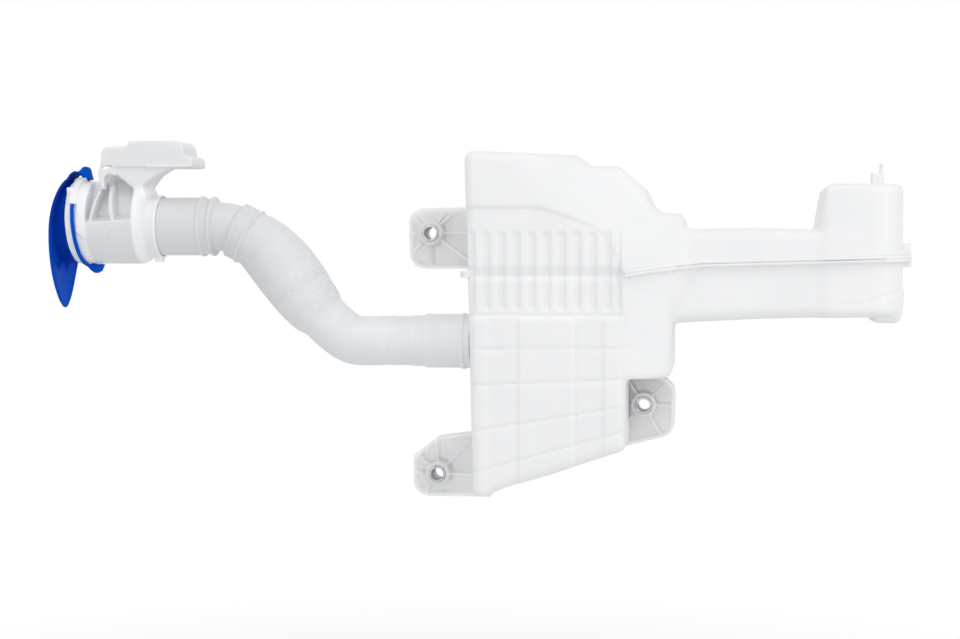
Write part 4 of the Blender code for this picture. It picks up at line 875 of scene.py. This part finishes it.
# %% Skin the filler head
hx = ruled(-264.07, -163.5, 0.75, (-236, -222, 0.5))
hy = ruled(-50.11, 13.5, 1.1, (-51, -30, 0.7))
hz = ruled(-24.13, 68, 0.75, (42, 50, 0.45))
x, y, z = rulers(hx, hy, hz)
form = joined(head_solid(x, y, z), platform_form(x, y, z), 1.2)
spread = np.hypot(y - AXIS_Y, z - HEAD_Z)
inside = rounded(spread - HEAD_RADIUS + HEAD_WALL, x + 203.9, 5.6)
inside = np.maximum(inside, -recess_space(x, y, z, HEAD_WALL))
outlet = np.hypot(y - AXIS_Y, z - HOSE_Z)
inside = np.minimum(inside, np.maximum(outlet - 18.7, -205 - x))
inside = np.minimum(inside, np.maximum(outlet - 20.9, -201.3 - x))
form = without(form, inside, 0.4)
mouth = -(x - MOUTH_X) * math.cos(MOUTH_TILT) - (z - HEAD_Z) * math.sin(MOUTH_TILT)
form = rounded(form, mouth, 0.7).astype(np.float32)
head = skin("filler_head_skin", form, hx, hy, hz, head_white)
del form, spread, inside, outlet, mouth

# %% [markdown]
# ## The cap
# The lid is a domed sheet, round above and drawn out below into a pull tab. A bead stiffens its edge, a
# skirt reaches down to the mouth, and four small ribs brace the skirt. It is written in the lid's own frame,
# in which u points into the neck, v points up and w across. Its outline is half a circle above and half of
# a more pointed oval below, and the whole sheet is bent a little along v.

# %% The lid as a distance
LID_X, LID_LEAN, LID_RADIUS, TAB_REACH = -264.08, math.radians(4.2), 33.0, 61.0
STRAP_FOOT, STRAP_TOP = (-261.2, 39.6), (-257.2, 43.6)


def lid_form(x, y, z):
    """The lid with its bead, skirt, plug, ribs and strap."""
    u = (x - LID_X) * math.cos(LID_LEAN) - (z - HEAD_Z) * math.sin(LID_LEAN)
    v = (x - LID_X) * math.sin(LID_LEAN) + (z - HEAD_Z) * math.cos(LID_LEAN)
    w = y - AXIS_Y
    u = u + 0.8 - 0.0014 * (v + 14) ** 2
    tall, power = np.where(v > 0, LID_RADIUS, TAB_REACH), np.where(v > 0, 2.0, 1.55)
    wide, long = np.abs(w) / LID_RADIUS, np.abs(v) / tall
    share = (wide ** power + long ** power) ** (1 / power)
    base = np.maximum(share, 0.05)
    slope = np.hypot((wide / base) ** (power - 1) / LID_RADIUS, (long / base) ** (power - 1) / tall)
    edge = (share - 1) / slope
    dome = 3 * (1 - share ** 2)
    rise = u + dome
    sheet = rounded(edge, between(rise, -2.0, -0.2), 0.8)
    bead = rounded(between(edge, -2.0, 0.0), between(rise, -2.0, 0.4), 0.6)
    form = joined(sheet, bead, 0.8)
    along = (x - MOUTH_X) * math.cos(MOUTH_TILT) + (z - HEAD_Z) * math.sin(MOUTH_TILT)
    across = np.hypot(w, -(x - MOUTH_X) * math.sin(MOUTH_TILT) + (z - HEAD_Z) * math.cos(MOUTH_TILT))
    plug = HEAD_RADIUS - HEAD_WALL - 1.6
    skirt = np.maximum(between(across, plug - 1.8, HEAD_RADIUS - 0.5), along + 0.3)
    skirt = np.minimum(skirt, np.maximum(between(across, plug - 1.8, plug), along - 2.5))
    form = joined(form, np.maximum(skirt, -1.2 - rise), 1.0)
    for angle in (-20, -74, -106, -160):
        c, s = -math.cos(math.radians(angle)), math.sin(math.radians(angle))
        out, off = w * c + v * s, np.abs(-w * s + v * c)
        rib = np.maximum(between(out, 27.0, 36.5), between(rise, -1.2, 3.6 - (out - 28) * 0.4))
        form = joined(form, np.maximum(np.maximum(off - 0.6, rib), edge + 0.5), 0.5)
    (fx, fz), (tx, tz) = STRAP_FOOT, STRAP_TOP
    dx, dz = tx - fx, tz - fz
    t = np.clip(((x - fx) * dx + (z - fz) * dz) / (dx * dx + dz * dz), 0, 1)
    bow = 0.5 * np.sin(t * math.pi)
    strap = np.hypot(x - fx - t * dx + bow * 0.59, z - fz - t * dz - bow * 0.8) - 1.05
    strap = np.minimum(strap, np.hypot(x - tx, z - tz) - 1.1)
    return joined(form, np.maximum(strap, between(w, -8, 8)), 1.2)


lx = ruled(-285.07, -245.0, 0.5)
ly = ruled(-53.13, 16.0, 0.8, (-54, -40, 0.55))
lz = ruled(-56.11, 47.0, 0.6)
x, y, z = rulers(lx, ly, lz)
lid = skin("cap_lid_skin", lid_form(x, y, z).astype(np.float32), lx, ly, lz, cap_blue)

# %% The retaining ring with its knob and grip
KNOB = [(-255.8, 42.6, 0.5), (-255.8, 44.6, 0.5), (-254.2, 45.8, 1.5), (-251.3, 49.0, 3),
        (-248.2, 47.0, 2.5), (-246.0, 38.4, 0.5), (-250.5, 38.4, 1), (-253.8, 41.4, 1.5)]
GRIP = [(-251.2, -18.5, 0), (-238.0, -18.5, 0), (-237.9, -22.2, 1), (-239.6, -26.8, 3), (-243.6, -28.9, 3),
        (-248.2, -25.6, 5)]
RING_X, RING_TILT, RING_INSIDE, RING_OUTSIDE = -250.5, math.radians(3.8), 29.95, 32.0


def ring_form(x, y, z):
    """The ring round the neck. Its knob carries the lid's hinge, and its grip hangs below."""
    along = (x - RING_X) * math.cos(RING_TILT) + (z - HEAD_Z) * math.sin(RING_TILT)
    rise = (z - HEAD_Z) * math.cos(RING_TILT) - (x - RING_X) * math.sin(RING_TILT)
    across = np.hypot(y - AXIS_Y, rise)
    form = rounded(between(along, -1.2, 1.4), between(across, RING_INSIDE, RING_OUTSIDE), 0.5)
    knob = rounded(flat_distance(x, z, outline(KNOB)), between(y, -24, -14), 2.6)
    behind_shroud = np.maximum(y + 21.5, between(z, 20.6, 36.2))
    form = joined(np.maximum(form, -behind_shroud), knob, 1.2)
    form = joined(form, rounded(flat_distance(x, z, outline(GRIP)), between(y, -23.0, -15.0), 2.4), 1.5)
    return without(form, np.hypot(y - AXIS_Y, z - HEAD_Z) - RING_INSIDE, 0.2)


rx = ruled(-258.57, -235.5, 0.5)
ry = ruled(-52.61, 15.5, 0.7)
rz = ruled(-31.13, 51.0, 0.6)
x, y, z = rulers(rx, ry, rz)
ring = skin("cap_ring_skin", ring_form(x, y, z).astype(np.float32), rx, ry, rz, cap_blue)

# %% [markdown]
# ## What each piece stands for
# Every new piece moves with a body of the CAD model and stands for one of its nodes.

# %% Tie the pieces to the frame
STANDS_FOR = [(upper, "upper_shell", "tank_plastic"), (lower, "lower_shell", "tank_plastic"),
              (lugs["lug_upper_left"], "upper_shell", "tank_plastic"),
              (lugs["lug_lower_left"], "lower_shell", "tank_plastic"),
              (lugs["lug_lower_right"], "lower_shell", "tank_plastic"),
              (hose, "filler_hose", "hose_plastic"), (head, "filler_head", "head_plastic"),
              (ring, "cap_retaining_ring", "cap_plastic"), (lid, "cap_lid", "cap_plastic")]
for piece, node, finish in STANDS_FOR:
    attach(piece, "cap" if node == "cap_lid" else "reservoir")
    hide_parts(node)
print(len(STANDS_FOR), "pieces stand for", len({node for piece, node, finish in STANDS_FOR}), "nodes")

# %% [markdown]
# ## Floor, light and camera
# A catalogue picture shows the part on plain white. The world is white to the camera, while its light is
# softer, and three large lamps give the forms their shade, the strongest from the upper left. The floor lies
# well below the part, which hangs from its bushes in use, and keeps a soft shadow.

# %% Floor
FLOOR_Z = -0.42
floor_mesh = bpy.data.meshes.new("floor")
floor_corners = [(px, py, FLOOR_Z) for px, py in ((-3, -3), (3, -3), (3, 4), (-3, 4))]
floor_mesh.from_pydata(floor_corners, [], [(0, 1, 2, 3)])
floor = bpy.data.objects.new("floor", floor_mesh)
bpy.context.scene.collection.objects.link(floor)
floor_look = bpy.data.materials.new("floor_white")
floor_look.use_nodes = True
floor_look.node_tree.nodes.clear()
graph = Graph(floor_look.node_tree)
seen = graph.node("ShaderNodeLightPath").out("Is Camera Ray")
grain = graph.node("ShaderNodeTexNoise", None, {"Scale": 30.0})
pale = graph.blend(grain, (0.9, 0.9, 0.9, 1), (0.93, 0.93, 0.93, 1))
matt = graph.node("ShaderNodeBsdfDiffuse", None, {"Color": pale})
white = graph.node("ShaderNodeEmission", None, {"Color": (1, 1, 1, 1), "Strength": 1.0})
spot = graph.node("ShaderNodeTexCoord").out("Object")
apart = graph.node("ShaderNodeVectorMath", {"operation": "LENGTH"}, {0: spot}).out("Value")
share = seen * (apart.step(0.55, 1.0) * 0.4 + 0.6)
mixed = graph.node("ShaderNodeMixShader", None, {0: share, 1: matt, 2: white})
graph.node("ShaderNodeOutputMaterial", None, {0: mixed})
floor_mesh.materials.append(floor_look)
print("floor at", FLOOR_Z)

# %% World
world = bpy.data.worlds.new("studio")
bpy.context.scene.world = world
world.use_nodes = True
world.node_tree.nodes.clear()
graph = Graph(world.node_tree)
path = graph.node("ShaderNodeLightPath")
direct = path.out("Is Camera Ray").sum("MAXIMUM", path.out("Is Glossy Ray"))
direct = direct.sum("MAXIMUM", path.out("Is Transmission Ray"))
ambient = graph.node("ShaderNodeBackground", None, {0: (0.97, 0.985, 1.0, 1.0), 1: 0.68})
clear = graph.node("ShaderNodeBackground", None, {0: (1, 1, 1, 1), 1: 1.0})
both = graph.node("ShaderNodeMixShader", None, {0: direct, 1: ambient, 2: clear})
graph.node("ShaderNodeOutputWorld", None, {0: both})
print("world ready")

# %% Lamps
def soft_lamp(name, place, aim, size, power):
    """A square lamp that points at a spot."""
    data = bpy.data.lights.new(name, "AREA")
    data.shape = "SQUARE"
    data.size = size
    data.energy = power
    lamp = bpy.data.objects.new(name, data)
    bpy.context.scene.collection.objects.link(lamp)
    lamp.location = place
    lamp.rotation_euler = (Vector(aim) - Vector(place)).to_track_quat("-Z", "Y").to_euler()
    return lamp


soft_lamp("key", (-0.35, -1.1, 1.6), (0.0, 0.0, -0.05), 1.3, 8.0)
soft_lamp("side", (1.6, -0.8, 0.5), (0.1, 0.0, -0.05), 1.3, 6.0)
soft_lamp("front", (0.3, -2.6, 0.1), (0.0, 0.0, -0.05), 1.6, 6.0)

# %% Camera
lens = bpy.data.cameras.new("camera")
lens.lens = 69.375
lens.sensor_width = 36.0
lens.clip_start = 0.05
camera = bpy.data.objects.new("camera", lens)
bpy.context.scene.collection.objects.link(camera)
camera.location = (0.2039, -1.3037, -0.0153)
camera.rotation_euler = (math.radians(88.0), 0.0, math.radians(7.5))
bpy.context.scene.camera = camera
bpy.context.scene.view_settings.view_transform = "Standard"
print("camera at", tuple(camera.location))
